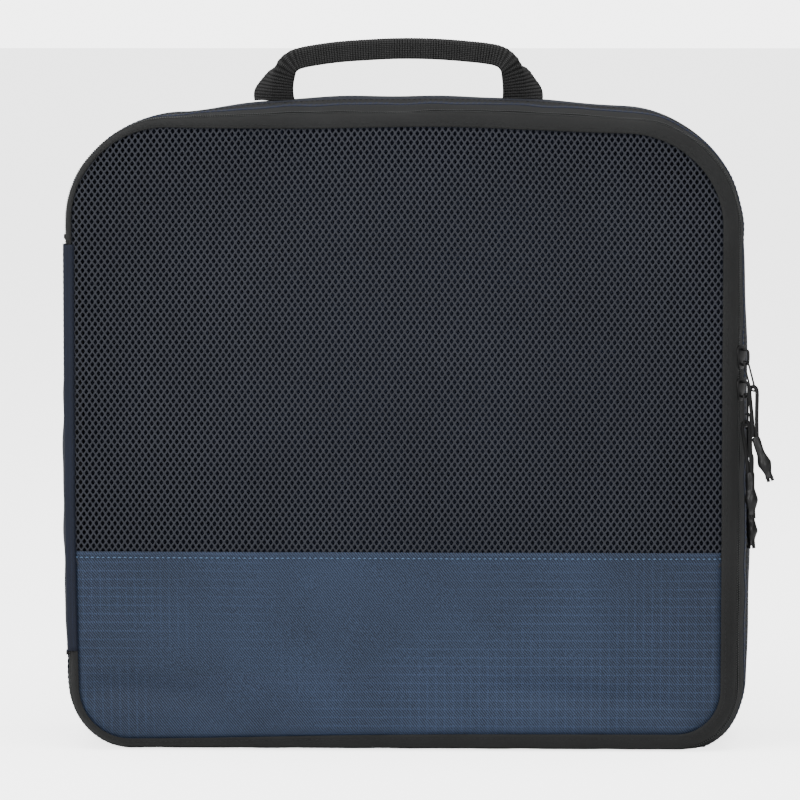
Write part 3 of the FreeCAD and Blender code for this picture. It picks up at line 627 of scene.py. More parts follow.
def ring_line(start, stop, outset, depth, surface=None, step=2.0 * MM):
    """Points on the wall between two arc lengths."""
    along = np.linspace(start, stop, math.ceil((stop - start) / step))
    place, normal = outline_at(along)
    extra = outset if surface is None else surface(along, np.full(len(along), depth)) + outset
    xz = place + normal * np.broadcast_to(extra, along.shape)[:, None]
    return settle(np.stack([xz[:, 0], np.full(len(along), depth), xz[:, 1]], -1))


# Materials.


class Value:
    """A shader socket that takes part in ordinary arithmetic."""

    def __init__(self, shader, socket):
        self.shader, self.socket = shader, socket

    def _math(self, kind, *others):
        return self.shader.math(kind, self, *others)

    def __add__(self, other):
        return self._math("ADD", other)

    __radd__ = __add__

    def __mul__(self, other):
        return self._math("MULTIPLY", other)

    __rmul__ = __mul__

    def __sub__(self, other):
        return self._math("SUBTRACT", other)

    def __truediv__(self, other):
        return self._math("DIVIDE", other)

    def __abs__(self):
        return self._math("ABSOLUTE")

    def wave(self, length, phase=0.0):
        """A sine from 0 to 1 with that wavelength."""
        return self.shader.math("SINE", self * (FULL_TURN / length) + phase) * 0.5 + 0.5

    def cell(self, length):
        """0 to 1 across each cell of that length."""
        return self.shader.math("FRACT", self / length)

    def over(self, edge, soft):
        """0 below an edge and 1 above it."""
        made = self.shader.node("ShaderNodeMapRange", {"interpolation_type": "SMOOTHSTEP"})
        self.shader.set(made.inputs["Value"], self)
        self.shader.set(made.inputs["From Min"], edge - soft)
        self.shader.set(made.inputs["From Max"], edge + soft)
        return Value(self.shader, made.outputs["Result"])


class Shader:
    """One material with a principled surface."""

    def __init__(self, name, roughness=0.8, specular=0.5, sheen=0.0, coat=0.0):
        self.material = bpy.data.materials.new(name)
        self.material.use_nodes = True
        self.tree = self.material.node_tree
        self.surface = self.tree.nodes["Principled BSDF"]
        self.surface.inputs["Roughness"].default_value = roughness
        self.surface.inputs["Specular IOR Level"].default_value = specular
        self.surface.inputs["Sheen Weight"].default_value = sheen
        self.surface.inputs["Sheen Roughness"].default_value = 0.4
        self.surface.inputs["Coat Weight"].default_value = coat

    def set(self, socket, value):
        if isinstance(value, Value):
            self.tree.links.new(value.socket, socket)
        elif isinstance(value, bpy.types.NodeSocket):
            self.tree.links.new(value, socket)
        else:
            socket.default_value = value

    def node(self, kind, settings=None, inputs=None):
        made = self.tree.nodes.new(kind)
        for key, value in (settings or {}).items():
            setattr(made, key, value)
        for key, value in (inputs or {}).items():
            self.set(made.inputs[key], value)
        return made

    def math(self, kind, *values):
        made = self.node("ShaderNodeMath", {"operation": kind})
        for socket, value in zip(made.inputs, values):
            self.set(socket, value)
        return Value(self, made.outputs[0])

    def mix(self, first, second, share):
        made = self.node("ShaderNodeMix", {"data_type": "RGBA"})
        self.set(made.inputs[0], share)
        for socket, value in zip(made.inputs[6:8], (first, second)):
            self.set(socket, (*value, 1.0) if isinstance(value, tuple) else value)
        return Value(self, made.outputs[2])

    def cloth(self):
        """The place on the cloth, in metres."""
        place = self.node("ShaderNodeUVMap", {"uv_map": "cloth"})
        split = self.node("ShaderNodeSeparateXYZ", inputs={0: place.outputs[0]})
        return Value(self, split.outputs[0]), Value(self, split.outputs[1])

    def noise(self, size, detail=2.0, stretch=(1, 1, 1)):
        place = self.node("ShaderNodeTexCoord").outputs["Object"]
        scaled = self.node("ShaderNodeVectorMath", {"operation": "MULTIPLY"}, {0: place, 1: stretch})
        made = self.node(
            "ShaderNodeTexNoise", inputs={"Vector": scaled.outputs[0], "Scale": 1 / size, "Detail": detail}
        )
        return Value(self, made.outputs[0])

    def colour(self, value):
        self.set(self.surface.inputs["Base Color"], (*value, 1.0) if isinstance(value, tuple) else value)

    def bump(self, height, distance, strength=1.0):
        made = self.node(
            "ShaderNodeBump", inputs={"Height": height, "Distance": distance, "Strength": strength}
        )
        self.set(self.surface.inputs["Normal"], made.outputs[0])

    def rough(self, value):
        self.set(self.surface.inputs["Roughness"], value)


def navy_cloth(name, light, dark, dot, row, dots=True):
    """Fine twill, mirrored about the middle, with dotted ripstop lines."""
    s = Shader(name, roughness=0.7, specular=0.15, sheen=0.03)
    u, v = s.cloth()
    sway = s.noise(0.012, 1.0) * 0.0012
    twill = (u * 1.25 + v + sway).wave(0.0017) if dots else (u + v).wave(0.0009)
    lines = abs(v.cell(row) - 0.5).over(0.40, 0.06)
    pips = u.wave(0.0011).over(0.4, 0.4) if dots else u.wave(0.0007) * 0.5 + 0.5
    wear = s.noise(0.05, 3.0)
    patch = s.noise(0.09, 1.0)
    grain = s.noise(0.0007, 1.0)
    # Painted shade: the colour darkens away from the cloth's middle (u = 0), standing in for the bulge
    # turning away from the light.
    side = abs(u * 6.0).over(0.8, 0.5) * 0.25
    tone = s.mix(dark, light, twill * 0.85 + wear * 0.4 + grain * 0.9 - 0.62 - side)
    columns = abs(u.cell(row) - 0.5).over(0.40, 0.06) * v.wave(0.0011).over(0.4, 0.4)
    threads = lines * pips * patch.over(0.47, 0.12) * 0.2
    if dots:
        threads = threads + columns * s.noise(0.07, 1.0).over(0.55, 0.12) * 0.16
    s.colour(s.mix(tone, dot, threads))
    s.bump(twill * 0.5 + lines * 0.4 + grain * 0.3, 0.00012, 0.8)
    return s.material


def plain_cloth(name, light, dark, size, depth, sheen=0.02, roughness=0.85):
    """A speckled matt weave."""
    s = Shader(name, roughness=roughness, specular=0.12, sheen=sheen)
    u, v = s.cloth()
    weave = u.wave(size) * v.wave(size) + u.wave(size, math.pi) * v.wave(size, math.pi)
    grain = s.noise(size * 0.8, 2.0)
    wear = s.noise(0.03, 2.0)
    s.colour(s.mix(dark, light, weave * 0.4 + grain * 0.6 + wear * 0.3 - 0.2))
    s.bump(weave + grain, depth, 0.9)
    return s.material


def knit(name, light, dark):
    """Threads of the mesh."""
    s = Shader(name, roughness=0.6, specular=0.15, sheen=0.02)
    thread = s.noise(0.0006, 2.0, (1, 1, 0.35))
    wear = s.noise(0.06, 2.0)
    s.colour(s.mix(dark, light, thread * 0.9 + wear * 0.4 - 0.2))
    s.bump(thread, 0.00015, 0.9)
    return s.material


def webbing(name, light, dark):
    """Ribs across the strap, made of fine threads."""
    s = Shader(name, roughness=0.7, specular=0.15, sheen=0.02)
    u, v = s.cloth()
    ribs = u.wave(0.0013)
    threads = v.wave(0.0009)
    grain = s.noise(0.0005, 2.0)
    s.colour(s.mix(dark, light, ribs * 0.75 + threads * 0.35 + grain * 0.6 - 0.6))
    s.bump(threads * ribs + grain * 0.8, 0.0004, 1.0)
    return s.material


def smooth_finish(name, colour, roughness, specular=0.5, coat=0.0, wear=0.15, size=0.004):
    """Enamel or moulded plastic with slight wear."""
    s = Shader(name, roughness, specular, coat=coat)
    marks = s.noise(size, 3.0)
    paler = tuple(min(1.0, c * 1.6 + 0.0015) for c in colour)
    s.colour(s.mix(colour, paler, marks * wear * 2))
    s.rough(marks * 0.2 + (roughness - 0.1))
    return s.material


def braid(name, light, dark):
    """Fine braided cord."""
    s = Shader(name, roughness=0.65, specular=0.12, sheen=0.02)
    place = s.node("ShaderNodeTexCoord").outputs["Object"]
    split = s.node("ShaderNodeSeparateXYZ", inputs={0: place})
    x, y, z = (Value(s, split.outputs[i]) for i in range(3))
    cross = (z + (x + y) * 0.8).wave(0.0009) * 0.5 + (z - (x + y) * 0.8).wave(0.0009) * 0.5
    s.colour(s.mix(dark, light, cross * 0.8 + s.noise(0.0006) * 0.3))
    s.bump(cross, 0.0002, 0.9)
    return s.material


def shrunk(name, light, dark):
    """A shrink sleeve, satin and creased."""
    s = Shader(name, roughness=0.38, specular=0.2)
    creases = s.noise(0.0030, 2.0, (1, 1, 0.5))
    s.colour(s.mix(dark, light, creases))
    s.rough(creases * 0.25 + 0.28)
    s.bump(creases, 0.0004, 0.5)
    return s.material


MATERIALS = {
    "panel": lambda n: navy_cloth(
        n, (0.0215, 0.0335, 0.0640), (0.0040, 0.0060, 0.0105), (0.040, 0.064, 0.130), 0.0043
    ),
    # A darker copy of the panel's navy cloth for the walls, strip, hinges and back panel; its extra darkness
    # is painted shade for faces turned away from the light.
    "side": lambda n: navy_cloth(
        n, (0.0075, 0.0118, 0.0275), (0.0012, 0.0018, 0.004), (0.010, 0.016, 0.036), 0.0023, False
    ),
    "tape": lambda n: plain_cloth(n, (0.0215, 0.022, 0.022), (0.0014, 0.0015, 0.0016), 0.0008, 0.00022),
    "lining": lambda n: plain_cloth(n, (0.012, 0.015, 0.024), (0.006, 0.007, 0.012), 0.0006, 0.0001),
    "mesh": lambda n: knit(n, (0.0195, 0.0215, 0.0285), (0.004, 0.0045, 0.007)),
    "webbing": lambda n: webbing(n, (0.024, 0.024, 0.024), (0.0004, 0.0004, 0.0004)),
    "metal": lambda n: smooth_finish(n, (0.0020, 0.0020, 0.0022), 0.34, 0.16, coat=0.0),
    "coil": lambda n: smooth_finish(n, (0.006, 0.006, 0.0065), 0.55, 0.25),
    "tick": lambda n: smooth_finish(n, (0.055, 0.057, 0.057), 0.7, 0.1),
    "cord": lambda n: braid(n, (0.0085, 0.0085, 0.0088), (0.0015, 0.0015, 0.0016)),
    "sleeve": lambda n: shrunk(n, (0.005, 0.005, 0.0052), (0.0015, 0.0015, 0.0016)),
    "stitch_blue": lambda n: smooth_finish(n, (0.045, 0.076, 0.128), 0.7, 0.1),
    "stitch_navy": lambda n: smooth_finish(n, (0.010, 0.017, 0.046), 0.7, 0.2),
    "stitch_dark": lambda n: smooth_finish(n, (0.006, 0.006, 0.0065), 0.7, 0.2),
}


def material(name):
    """The named material, made when it is first asked for."""
    full = f"cube {name}"
    return bpy.data.materials.get(full) or MATERIALS[name](full)


# Camera and light.


def add_camera():
    v = bpy.context.scene.cube_view
    aim = Vector((v.aim_x, v.aim_y, v.aim_z))
    way = Vector(
        (
            math.sin(v.azimuth) * math.cos(v.elevation),
            -math.cos(v.azimuth) * math.cos(v.elevation),
            math.sin(v.elevation),
        )
    )
    data = bpy.data.cameras.new("Camera")
    data.sensor_width = 36
    data.lens = data.sensor_width * v.distance / v.field
    data.clip_end = 100
    camera = make_object("Camera", data)
    camera.location = aim + way * v.distance
    camera.rotation_euler = (-way).to_track_quat("-Z", "Y").to_euler()
    bpy.context.scene.camera = camera


def add_light(name, place, aim, size, watts):
    data = bpy.data.lights.new(name, "AREA")
    data.shape = "RECTANGLE"
    data.size, data.size_y = size
    data.energy = watts
    lamp = make_object(name, data)
    lamp.location = place
    lamp.rotation_euler = (Vector(aim) - Vector(place)).to_track_quat("-Z", "Y").to_euler()


def add_floor():
    """A wide pale floor."""
    half = 45.0
    points = [(x, y, 0.0) for y in (-half, half) for x in (-half, half)]
    s = Shader("cube floor", roughness=0.9, specular=0.2)
    s.colour((0.93, 0.93, 0.93))
    seen = s.node("ShaderNodeLightPath").outputs["Is Camera Ray"]
    s.set(s.surface.inputs["Emission Color"], s.mix((0.0, 0.0, 0.0), (1.0, 1.0, 1.0), seen))
    s.surface.inputs["Emission Strength"].default_value = 2.9
    floor = make_mesh("floor", points, [(0, 1, 3, 2)], s.material)


# Pulls: slider height, zip, and how far wire, cord and sleeve hang out of the upright.

PULLS = {
    "main_upper": (0.197, "main", 24, 3, 22, 16),
    "main_lower": (0.181, "main", 1, 6, 3, 0),
    "expansion": (0.163, "expansion", 1, 3, 2, 0),
}

# The cord's way from one mouth of the sleeve over the wire and back, as (out, up) in millimetres.
CORD_ROUTE = (
    (-1.05, -23),
    (-1.08, -15),
    (-1.75, -6),
    (-2.25, 2.1),
    (2.25, 2.1),
    (1.75, -6),
    (1.08, -15),
    (1.05, -23),
)


def turned(axis, degrees):
    return Matrix.Rotation(math.radians(degrees), 4, axis)


def pull_places(name):
    """The places of a slider, its wire, its cord and its sleeve."""
    b, p = body_sizes(), pull_sizes()
    height, zip_name, wire_out, cord_out, sleeve_out, wire_front = PULLS[name]
    if zip_name == "main":
        start = Vector((b.half_width + 0.15 * MM, b.main_zip, height))
        facing = Matrix.Rotation(-p.tilt, 4, "Z")
    else:
        start = Vector((b.half_width + 2.0 * MM, b.expansion_zip, height))
        facing = Matrix.Identity(4)
    slider = Matrix.Translation(start) @ facing
    pin = Matrix.Translation((p.pin_out, 0, -p.pin_low))
    wire = slider @ pin @ turned("Y", -wire_out) @ turned("X", -wire_front)
    bend = wire @ Vector((0, 0, -p.wire_reach))
    cord = Matrix.Translation(bend) @ facing @ turned("Y", -cord_out)
    mouth = cord @ Vector((0, 0, -p.cord_drop))
    sleeve = Matrix.Translation(mouth) @ facing @ turned("Y", -sleeve_out)
    return slider, wire, cord, sleeve


def sleeve_shape(name, place):
    """The creased sleeve, wider over the knot, with the two cord ends below it."""
    p = pull_sizes()
    share = np.linspace(0, 1, 40)
    radius = smooth(
        share,
        (0, 0.05, 0.25, 0.42, 0.56, 0.66, 0.76, 0.86, 1.0),
        (0.78, 0.88, 0.90, 0.96, 1.36, 1.48, 1.20, 0.86, 0.92),
    )
    turn = np.arange(28) / 28 * FULL_TURN
    points = []
    for t, r in zip(share, radius):
        crease = 0.03 * np.sin(3 * turn + 9 * t) + 0.02 * np.sin(5 * turn - 17 * t + 1)
        twist = 0.02 * np.sin(31 * t + 2 * turn)
        flat = 1 + 0.10 * np.cos(2 * turn) * (1 - t)
        ring = p.sleeve_radius * r * flat * (1 + crease + twist * (0.4 + t))
        for a, q in zip(turn, ring):
            points.append((q * math.cos(a), q * math.sin(a), -t * p.sleeve_length))
    faces = grid_faces(len(share), len(turn), closed=True)
    faces.append(tuple(range(len(turn)))[::-1])
    faces.append(tuple(range(len(points) - len(turn), len(points))))
    made = make_mesh(name, points, [f[::-1] for f in faces], material("sleeve"))
    made.data.transform(place)
    return made


def cord_ends(name, place):
    p = pull_sizes()
    ends = []
    for side in (-1, 1):
        low = -p.sleeve_length
        run = [
            (side * 0.95 * MM, 0, low + 2 * MM),
            (side * 1.0 * MM, 0, low),
            (side * 1.25 * MM, 0, low - 1.6 * MM),
        ]
        ends.append(tube(f"{name}{side}", material("cord"), [place @ Vector(r) for r in run], 0.9 * MM))
    return join(name, ends)


def add_pulls():
    p = pull_sizes()
    for name in PULLS:
        _, _, cord, sleeve = pull_places(name)
        points = [cord @ Vector((x * MM, 0, z * MM)) for x, z in CORD_ROUTE]
        body = f"{name}_pull"
        data = bpy.data.curves.new(f"{name}_cord", "CURVE")
        data.dimensions = "3D"
        data.bevel_depth = p.cord_width / 2
        data.bevel_resolution = 4
        data.use_fill_caps = True
        spline = data.splines.new("NURBS")
        spline.points.add(len(points) - 1)
        for spot, point in zip(spline.points, points):
            spot.co = (*point, 1)
        spline.order_u = 3
        spline.use_endpoint_u = True
        spline.resolution_u = 10
        data.materials.append(material("cord"))
        rope = install(make_object(f"{name}_cord", data), body, "grey_cord", f"{name}_pull_cord")
        shrink = install(sleeve_shape(f"{name}_sleeve", sleeve), body, "shrink_sleeve", f"{name}_pull_sleeve")
        ends = install(cord_ends(f"{name}_cord_ends", sleeve), body, "grey_cord")
        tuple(points[0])


def add_sliders():
    p = pull_sizes()
    half = [
        (0, 5.8),
        (1.8, 5.7),
        (3.5, 5.1),
        (4.2, 3.6),
        (4.2, 0.8),
        (3.5, -1.8),
        (3.2, -4.0),
        (2.4, -5.5),
        (0, -5.8),
    ]
    plate = [(y * MM, z * MM) for y, z in half] + [(-y * MM, z * MM) for y, z in half[-2:0:-1]]
    arch = [
        (1.0, 3.7), (3.4, 3.75), (4.9, 3.3), (5.25, 1.8), (5.25, -1.8), (4.9, -3.3), (3.4, -3.75), (1.0, -3.7)
    ]
    metal = material("metal")
    for name in PULLS:
        slider, wire, _, _ = pull_places(name)
        body = f"{name}_zip_slider"
        outer = bevelled("outer", metal, plate, 0.5 * MM, 1.7 * MM, 0.3 * MM, slider)
        inner = bevelled("inner", metal, plate, -2.7 * MM, -1.6 * MM, 0.3 * MM, slider)
        parts = [outer, inner]
        for side in (-1, 1):
            rail = [(side * 3.5, 3.2), (side * 3.5, 0.6), (side * 2.8, 0.4), (side * 2.8, 3.4)]
            rail = [(y * MM, z * MM) for y, z in rail][::side]
            parts.append(bevelled("rail", metal, rail, -0.9 * MM, 1.2 * MM, 0.15 * MM, slider))
        whole = join(f"{name}_slider_plates", parts)
        install(whole, body, "black_metal", f"{name}_slider")
        bridge = tube(
            f"{name}_bridge", metal, [slider @ Vector((x * MM, 0, z * MM)) for x, z in arch], 0.68 * MM, 16
        )
        install(bridge, body, "black_metal", f"{name}_slider_bridge")
        w, r = p.wire_half, p.wire_reach
        loop = [
            (-w, -1.2 * MM), (-w * 0.8, 0), (w * 0.8, 0), (w, -1.2 * MM), (w, -0.5 * r), (w, -r + 1.6 * MM)
        ]
        loop += [(0.75 * w, -r), (-0.75 * w, -r), (-w, -r + 1.6 * MM), (-w, -0.5 * r)]
        made = tube(
            f"{name}_wire", metal, [wire @ Vector((0, y, z)) for y, z in loop], p.wire_radius, 12, closed=True
        )
        install(made, f"{name}_wire", "black_metal", f"{name}_pull_wire")


# Door.


def mesh_cell():
    """One diamond of mesh cloth round its oval hole, with a front, a back and the hole's wall."""
    c = cloth_sizes()
    across, up, half = c.mesh_pitch / 2, c.mesh_row, c.mesh_thickness / 2
    rim = [(across, 0), (across / 2, up / 2), (0, up), (-across / 2, up / 2)]
    rim += [(-x, -z) for x, z in rim]
    reach = (0.62, 0.52) * 4
    hole = [
        (k * across * math.cos(a), k * up * math.sin(a)) for k, a in zip(reach, np.arange(8) * math.pi / 4)
    ]
    points = []
    for depth in (-half, half):
        points += [(x, depth * 0.7, z) for x, z in rim]
        points += [(x, depth * 0.6, z) for x, z in hole]
    faces = []
    for i in range(8):
        j = (i + 1) % 8
        faces.append((i, j, 8 + j, 8 + i)[::-1])
        faces.append((16 + i, 16 + j, 24 + j, 24 + i))
        faces.append((8 + i, 8 + j, 24 + j, 24 + i)[::-1])
    mesh = bpy.data.meshes.new("mesh_cell")
    mesh.from_pydata(points, [], faces)
    return make_object("mesh_cell", mesh)


def add_mesh():
    b, c = body_sizes(), cloth_sizes()
    cell = mesh_cell()
    rows = np.arange(math.floor(b.top / c.mesh_row))
    columns = np.arange(-70, 71)
    row, column = np.meshgrid(rows, columns, indexing="ij")
    x = (column + 0.5 * (row % 2)) * c.mesh_pitch
    z = row * c.mesh_row
    kept = (edge_gap(x, z) > tape_reach(x, z) - 1.6 * MM) & (z > c.panel_top - 8 * MM)
    x, z = x[kept], z[kept]
    edges = (-0.2, -0.055, 0.055, 0.2)
    for part, (left, right) in enumerate(zip(edges[:-1], edges[1:])):
        mine = (x >= left) & (x < right)
        base = bpy.data.meshes.new("mesh_points")
        base.from_pydata([(a, 0.0, h) for a, h in zip(x[mine], z[mine])], [], [])
        made = make_object(f"mesh_{('left', 'middle', 'right')[part]}", base)
        values = {"Cell": cell, "Join distance": 0.05 * MM, "Material": material("mesh")}
        made = run_tree(made, net_tree(), values)

        def bend(points):
            px, py, pz = points.T
            return settle(np.stack([px, face_depth(px, pz) + tuck(px, pz, 0.5 * MM, 3 * MM) + py, pz], -1))

        move_points(made, bend)
        made.data.shade_smooth()
        wide, high = np.ptp(x[mine]), np.ptp(z[mine])
        area = 0.66 * int(mine.sum()) * c.mesh_pitch * c.mesh_row
        names = ("mesh_panel",) if part == 0 else ()
        install(made, "front_door", "black_mesh", *names, flat=(wide, high), area=area)
    bpy.data.objects.remove(cell)


def add_lower_panel():
    c = cloth_sizes()
    b = body_sizes()

    def depth(x, z):
        gap = np.maximum(edge_gap(x, z) - tape_reach(x, z), 0)
        near = np.exp(-gap / 0.008)
        puckers = ripple(x + 0.3 * z, (0.0217, 0.45, 0.5), (0.0139, 0.30, 1.6), (0.0371, 0.55, 0.1))
        pulls = ripple(z - 0.2 * x, (0.0243, 0.30, 0.5), (0.0157, 0.2, 1.0))
        low = z < 0.03
        hem = np.exp(-(((c.panel_top - z) / 0.0035) ** 2)) * 0.35 * MM
        slack = ripple(x + 0.4 * z, (0.092, 0.35, 0.5), (0.051, 0.2, 2.0)) * MM
        crumple = (puckers * low + pulls * ~low) * near * np.clip(gap / 0.003, 0, 1) * MM
        rise = z - 0.027 - 0.004 * np.sin(x / 0.031)
        dent = 2.6 * MM * np.exp(-((rise / 0.007) ** 2)) * np.clip(np.sin(x / 0.037 - 0.8), 0, 1)
        dent += 1.6 * MM * np.exp(-(((x - 0.140 + 0.5 * z) / 0.009) ** 2)) * np.clip((0.09 - z) / 0.03, 0, 1)
        tucked = tuck(x, z, 1.5 * MM, 3.5 * MM)
        return dent * (1 - near) + face_depth(x, z) - 0.7 * MM + tucked + crumple - hem + slack * (1 - near)

    made, flat = panel(
        "lower_panel_cloth", material("panel"), 2.6 * MM, depth, 0.6 * MM, top=c.panel_top, step=1.6 * MM
    )
    install(made, "front_door", "navy_fabric", "lower_panel", flat=flat)
    x = np.linspace(-b.half_width + 5 * MM, b.half_width - 9 * MM, 300)
    z = np.full(len(x), c.panel_top - 3.0 * MM)
    points = settle(np.stack([x, depth(x, z) - 0.06 * MM, z], -1))
    row = grains(
        "hem_stitches", material("stitch_blue"), points, c.stitch_pitch, (0.85 * MM, 0.24 * MM, 0.3 * MM), 3
    )
    install(row, "front_door", "navy_fabric")


def tape_range():
    """Where the zip runs, as arc lengths: all round but for the cloth hinge."""
    b = body_sizes()
    return left_at(b.hinge_low) - outline_length(), left_at(b.hinge_high)


def add_door_tape():
    b, c = body_sizes(), cloth_sizes()
    start, stop = tape_range()
    front, line = door_tape_span()
    stations = [(0.0, line - (line - front) * math.cos(a)) for a in np.linspace(0, math.pi / 2, 13)]
    made, _ = strip("door_tape", material("tape"), start, stop, stations, c.tape_thickness, door_tape_outset)
    install(made, "front_door", "black_tape", "main_zip_front_tape", "door_seam_binding")
    hinge = [(-4.6 * MM, b.face - 0.3 * MM), (-3.5 * MM, b.face - 0.75 * MM), (-1.2 * MM, b.face - 0.6 * MM)]
    hinge += [(0.2 * MM, b.face - 0.1 * MM), (0.9 * MM, b.face + 0.9 * MM)]
    made, _ = strip("door_hinge_cloth", material("side"), stop, start + outline_length(), hinge, 0.5 * MM)
    install(made, "front_door", "navy_fabric", "door_hinge_strip")


# Frame and tray walls.


def wall(name, look, first, last, lift=0.0, start=0.0, stop=None, thickness=None):
    stop = start + outline_length() if stop is None else stop
    thickness = cloth_sizes().thickness if thickness is None else thickness
    return strip(name, material(look), start, stop, on_wall(first, last), thickness, wall_outset, lift)


def add_frame_walls():
    c = cloth_sizes()
    start, stop = tape_range()
    rear, _ = wall("main_rear_tape", "tape", -37.4 * MM, -28.2 * MM, 0.1 * MM, start, stop, c.tape_thickness)
    install(rear, "front_frame", "black_tape", "main_zip_rear_tape")
    band, flat = wall("middle_strip", "side", -29.0 * MM, -22.6 * MM, 0.35 * MM)
    install(band, "front_frame", "navy_fabric", "centre_strip")
    front, _ = wall(
        "expansion_front_tape", "tape", -23.6 * MM, -13.7 * MM, 0.1 * MM, thickness=c.tape_thickness
    )
    install(front, "front_frame", "black_tape", "expansion_zip_front_tape", "frame_seam_binding")
    hinge, _ = wall("hinge_cloth", "side", -43.6 * MM, -27.6 * MM, 1.0 * MM, stop, start + outline_length())
    install(hinge, "front_frame", "navy_fabric", "hinge_panel")
    low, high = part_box("expansion_pleat")
    pleat, flat = strip(
        "pleat",
        material("lining"),
        0.0,
        outline_length(),
        on_wall(low[1], high[1]),
        c.thickness,
        pleat_outset,
    )
    install(pleat, "front_frame", "lining_fabric", "expansion_pleat", flat=flat[::-1])


def add_tray_walls():
    b, c = body_sizes(), cloth_sizes()
    rear, _ = wall("expansion_rear_tape", "tape", -12.3 * MM, -2.6 * MM, 0.1 * MM, thickness=c.tape_thickness)
    install(rear, "rear_tray", "black_tape", "expansion_zip_rear_tape")
    side, flat = wall("gusset", "side", -3.4 * MM, 44.9 * MM)
    install(side, "rear_tray", "navy_fabric", "main_gusset", flat=flat[::-1])

    def back_depth(x, z):
        return b.back - (face_depth(x, z) - b.face) * 0.6 - 0.1 * MM

    made, flat = panel(
        "back_cloth", material("side"), 0.3 * MM, back_depth, c.thickness, step=4 * MM, outward=1
    )
    install(made, "rear_tray", "navy_fabric", "back_panel", flat=flat)
    seam = [(0.8 * MM, 43.2 * MM), (1.4 * MM, 44.6 * MM), (0.9 * MM, 45.6 * MM), (-0.8 * MM, 46.0 * MM)]
    seam += [(-3.5 * MM, 45.8 * MM)]
    made, _ = strip("back_binding", material("tape"), 0.0, outline_length(), refine(seam, 0.6 * MM), 0.5 * MM)
    install(made, "rear_tray", "black_tape", "back_seam_binding")
    low, high = (Vector(v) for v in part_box("expansion_zip_garage"))
    middle, half = (low + high) / 2, (high - low) / 2
    outline = [(-half.y, -half.z), (half.y, -half.z), (half.y, half.z), (-half.y, half.z)]
    made = bevelled(
        "zip_garage", material("tape"), outline, -half.x, half.x, 0.4 * MM, Matrix.Translation(
            middle + Vector((1.2 * MM, 0, 0))
        )
    )
    install(made, "rear_tray", "black_tape", "expansion_zip_garage")


def add_zips():
    b, c = body_sizes(), cloth_sizes()
    start, stop = tape_range()
    total = outline_length()
    rows = (
        ("main_front", "front_door", -40.0, 0.16, start, stop, "main_zip_front_coil", door_tape_outset),
        ("main_rear", "front_frame", -36.9, 0.22, start, stop, "main_zip_rear_coil", wall_outset),
        ("expansion_front", "front_frame", -14.4, 0.22, 0.0, total, "expansion_zip_front_coil", wall_outset),
        ("expansion_rear", "rear_tray", -11.8, 0.22, 0.0, total, "expansion_zip_rear_coil", wall_outset),
    )
    for number, (name, body, depth, lift, first, last, node, surface) in enumerate(rows):
        points = ring_line(first, last, lift * MM, depth * MM, surface)
        ticks = grains(
            f"{name}_ticks", material("tick"), points, c.tick_pitch, (0.36 * MM, 1.6 * MM, 0.22 * MM), number
        )
        install(ticks, body, "zip_coil")
        turn = -0.9 if "front" in name else 0.9
        line = ring_line(first, last, -0.45 * MM, (depth - turn) * MM, surface)
        turns = grains(
            f"{name}_coil",
            material("coil"),
            line,
            c.tick_pitch,
            (0.5 * MM, 0.75 * MM, 0.45 * MM),
            number,
            0.04,
        )
        install(turns, body, "zip_coil", node)
    stops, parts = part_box("main_zip_stops"), []
    for along in (start + 1.5 * MM, stop - 1.5 * MM):
        place, _ = outline_at(np.array([along]))
        spot = Matrix.Translation((place[0][0], b.main_zip, place[0][1]))
        block = [(-1.8 * MM, -1.2 * MM), (1.8 * MM, -1.2 * MM), (1.8 * MM, 1.2 * MM), (-1.8 * MM, 1.2 * MM)]
        parts.append(bevelled("stop", material("metal"), block, -0.9 * MM, 0.9 * MM, 0.3 * MM, spot))
    install(join("zip_stops", parts), "front_frame", "black_metal", "main_zip_stops")


def add_seams():
    """Rows of stitches beside the seams."""
    c = cloth_sizes()
    start, stop = tape_range()
    total = outline_length()
    thread = (0.8 * MM, 0.2 * MM, 0.2 * MM)
    rows = (
        ("door", "front_door", "stitch_dark", start, stop, 0.05 * MM, -45.25, door_tape_outset),
        ("strip_front", "front_frame", "stitch_navy", 0.0, total, 0.35 * MM, -28.3, wall_outset),
        ("strip_rear", "front_frame", "stitch_navy", 0.0, total, 0.35 * MM, -23.4, wall_outset),
        ("gusset", "rear_tray", "stitch_dark", 0.0, total, 0.2 * MM, -3.9, wall_outset),
        ("hinge", "front_frame", "stitch_navy", stop, start + total, 1.1 * MM, -41.5, wall_outset),
    )
    for number, (name, body, look, first, last, lift, depth, surface) in enumerate(rows):
        points = ring_line(first, last, lift, depth * MM, surface)
        row = grains(f"{name}_stitches", material(look), points, c.stitch_pitch, thread, 20 + number)
        install(row, body, "black_tape" if look == "stitch_dark" else "navy_fabric")


# Handle.

# Each station of the strap's inner edge: x, z, turn of the front layer in degrees, fold in degrees, depth.
HANDLE = (
    (-55.1, 323.2, 0, 0, 4.2),
    (-55.6, 326.0, -2, 16, 3.6),
    (-55.6, 331.0, -8, 55, 2.8),
    (-54.9, 334.8, -20, 84, 2.0),
    (-54.2, 337.3, -48, 130, 1.2),
    (-52.9, 338.5, -68, 164, 2.2),
    (-50.2, 339.4, -77, 173, 2.8),
    (-44.0, 340.6, -82, 174, 3.4),
    (-34.0, 342.0, -85, 175, 3.6),
    (-20.0, 343.1, -88, 175, 3.6),
    (-2.0, 343.9, -90, 175, 3.6),
    (16.0, 343.6, -91, 175, 3.6),
    (32.0, 342.4, -94, 175, 3.6),
    (41.0, 341.4, -99, 174, 3.2),
    (45.8, 340.4, -106, 173, 2.8),
    (47.7, 339.4, -116, 164, 2.2),
    (48.7, 337.9, -134, 130, 1.2),
    (49.1, 335.2, -158, 84, 2.0),
    (49.5, 331.0, -171, 55, 2.8),
    (49.6, 326.5, -178, 18, 3.6),
    (49.4, 323.2, -180, 0, 4.2),
)


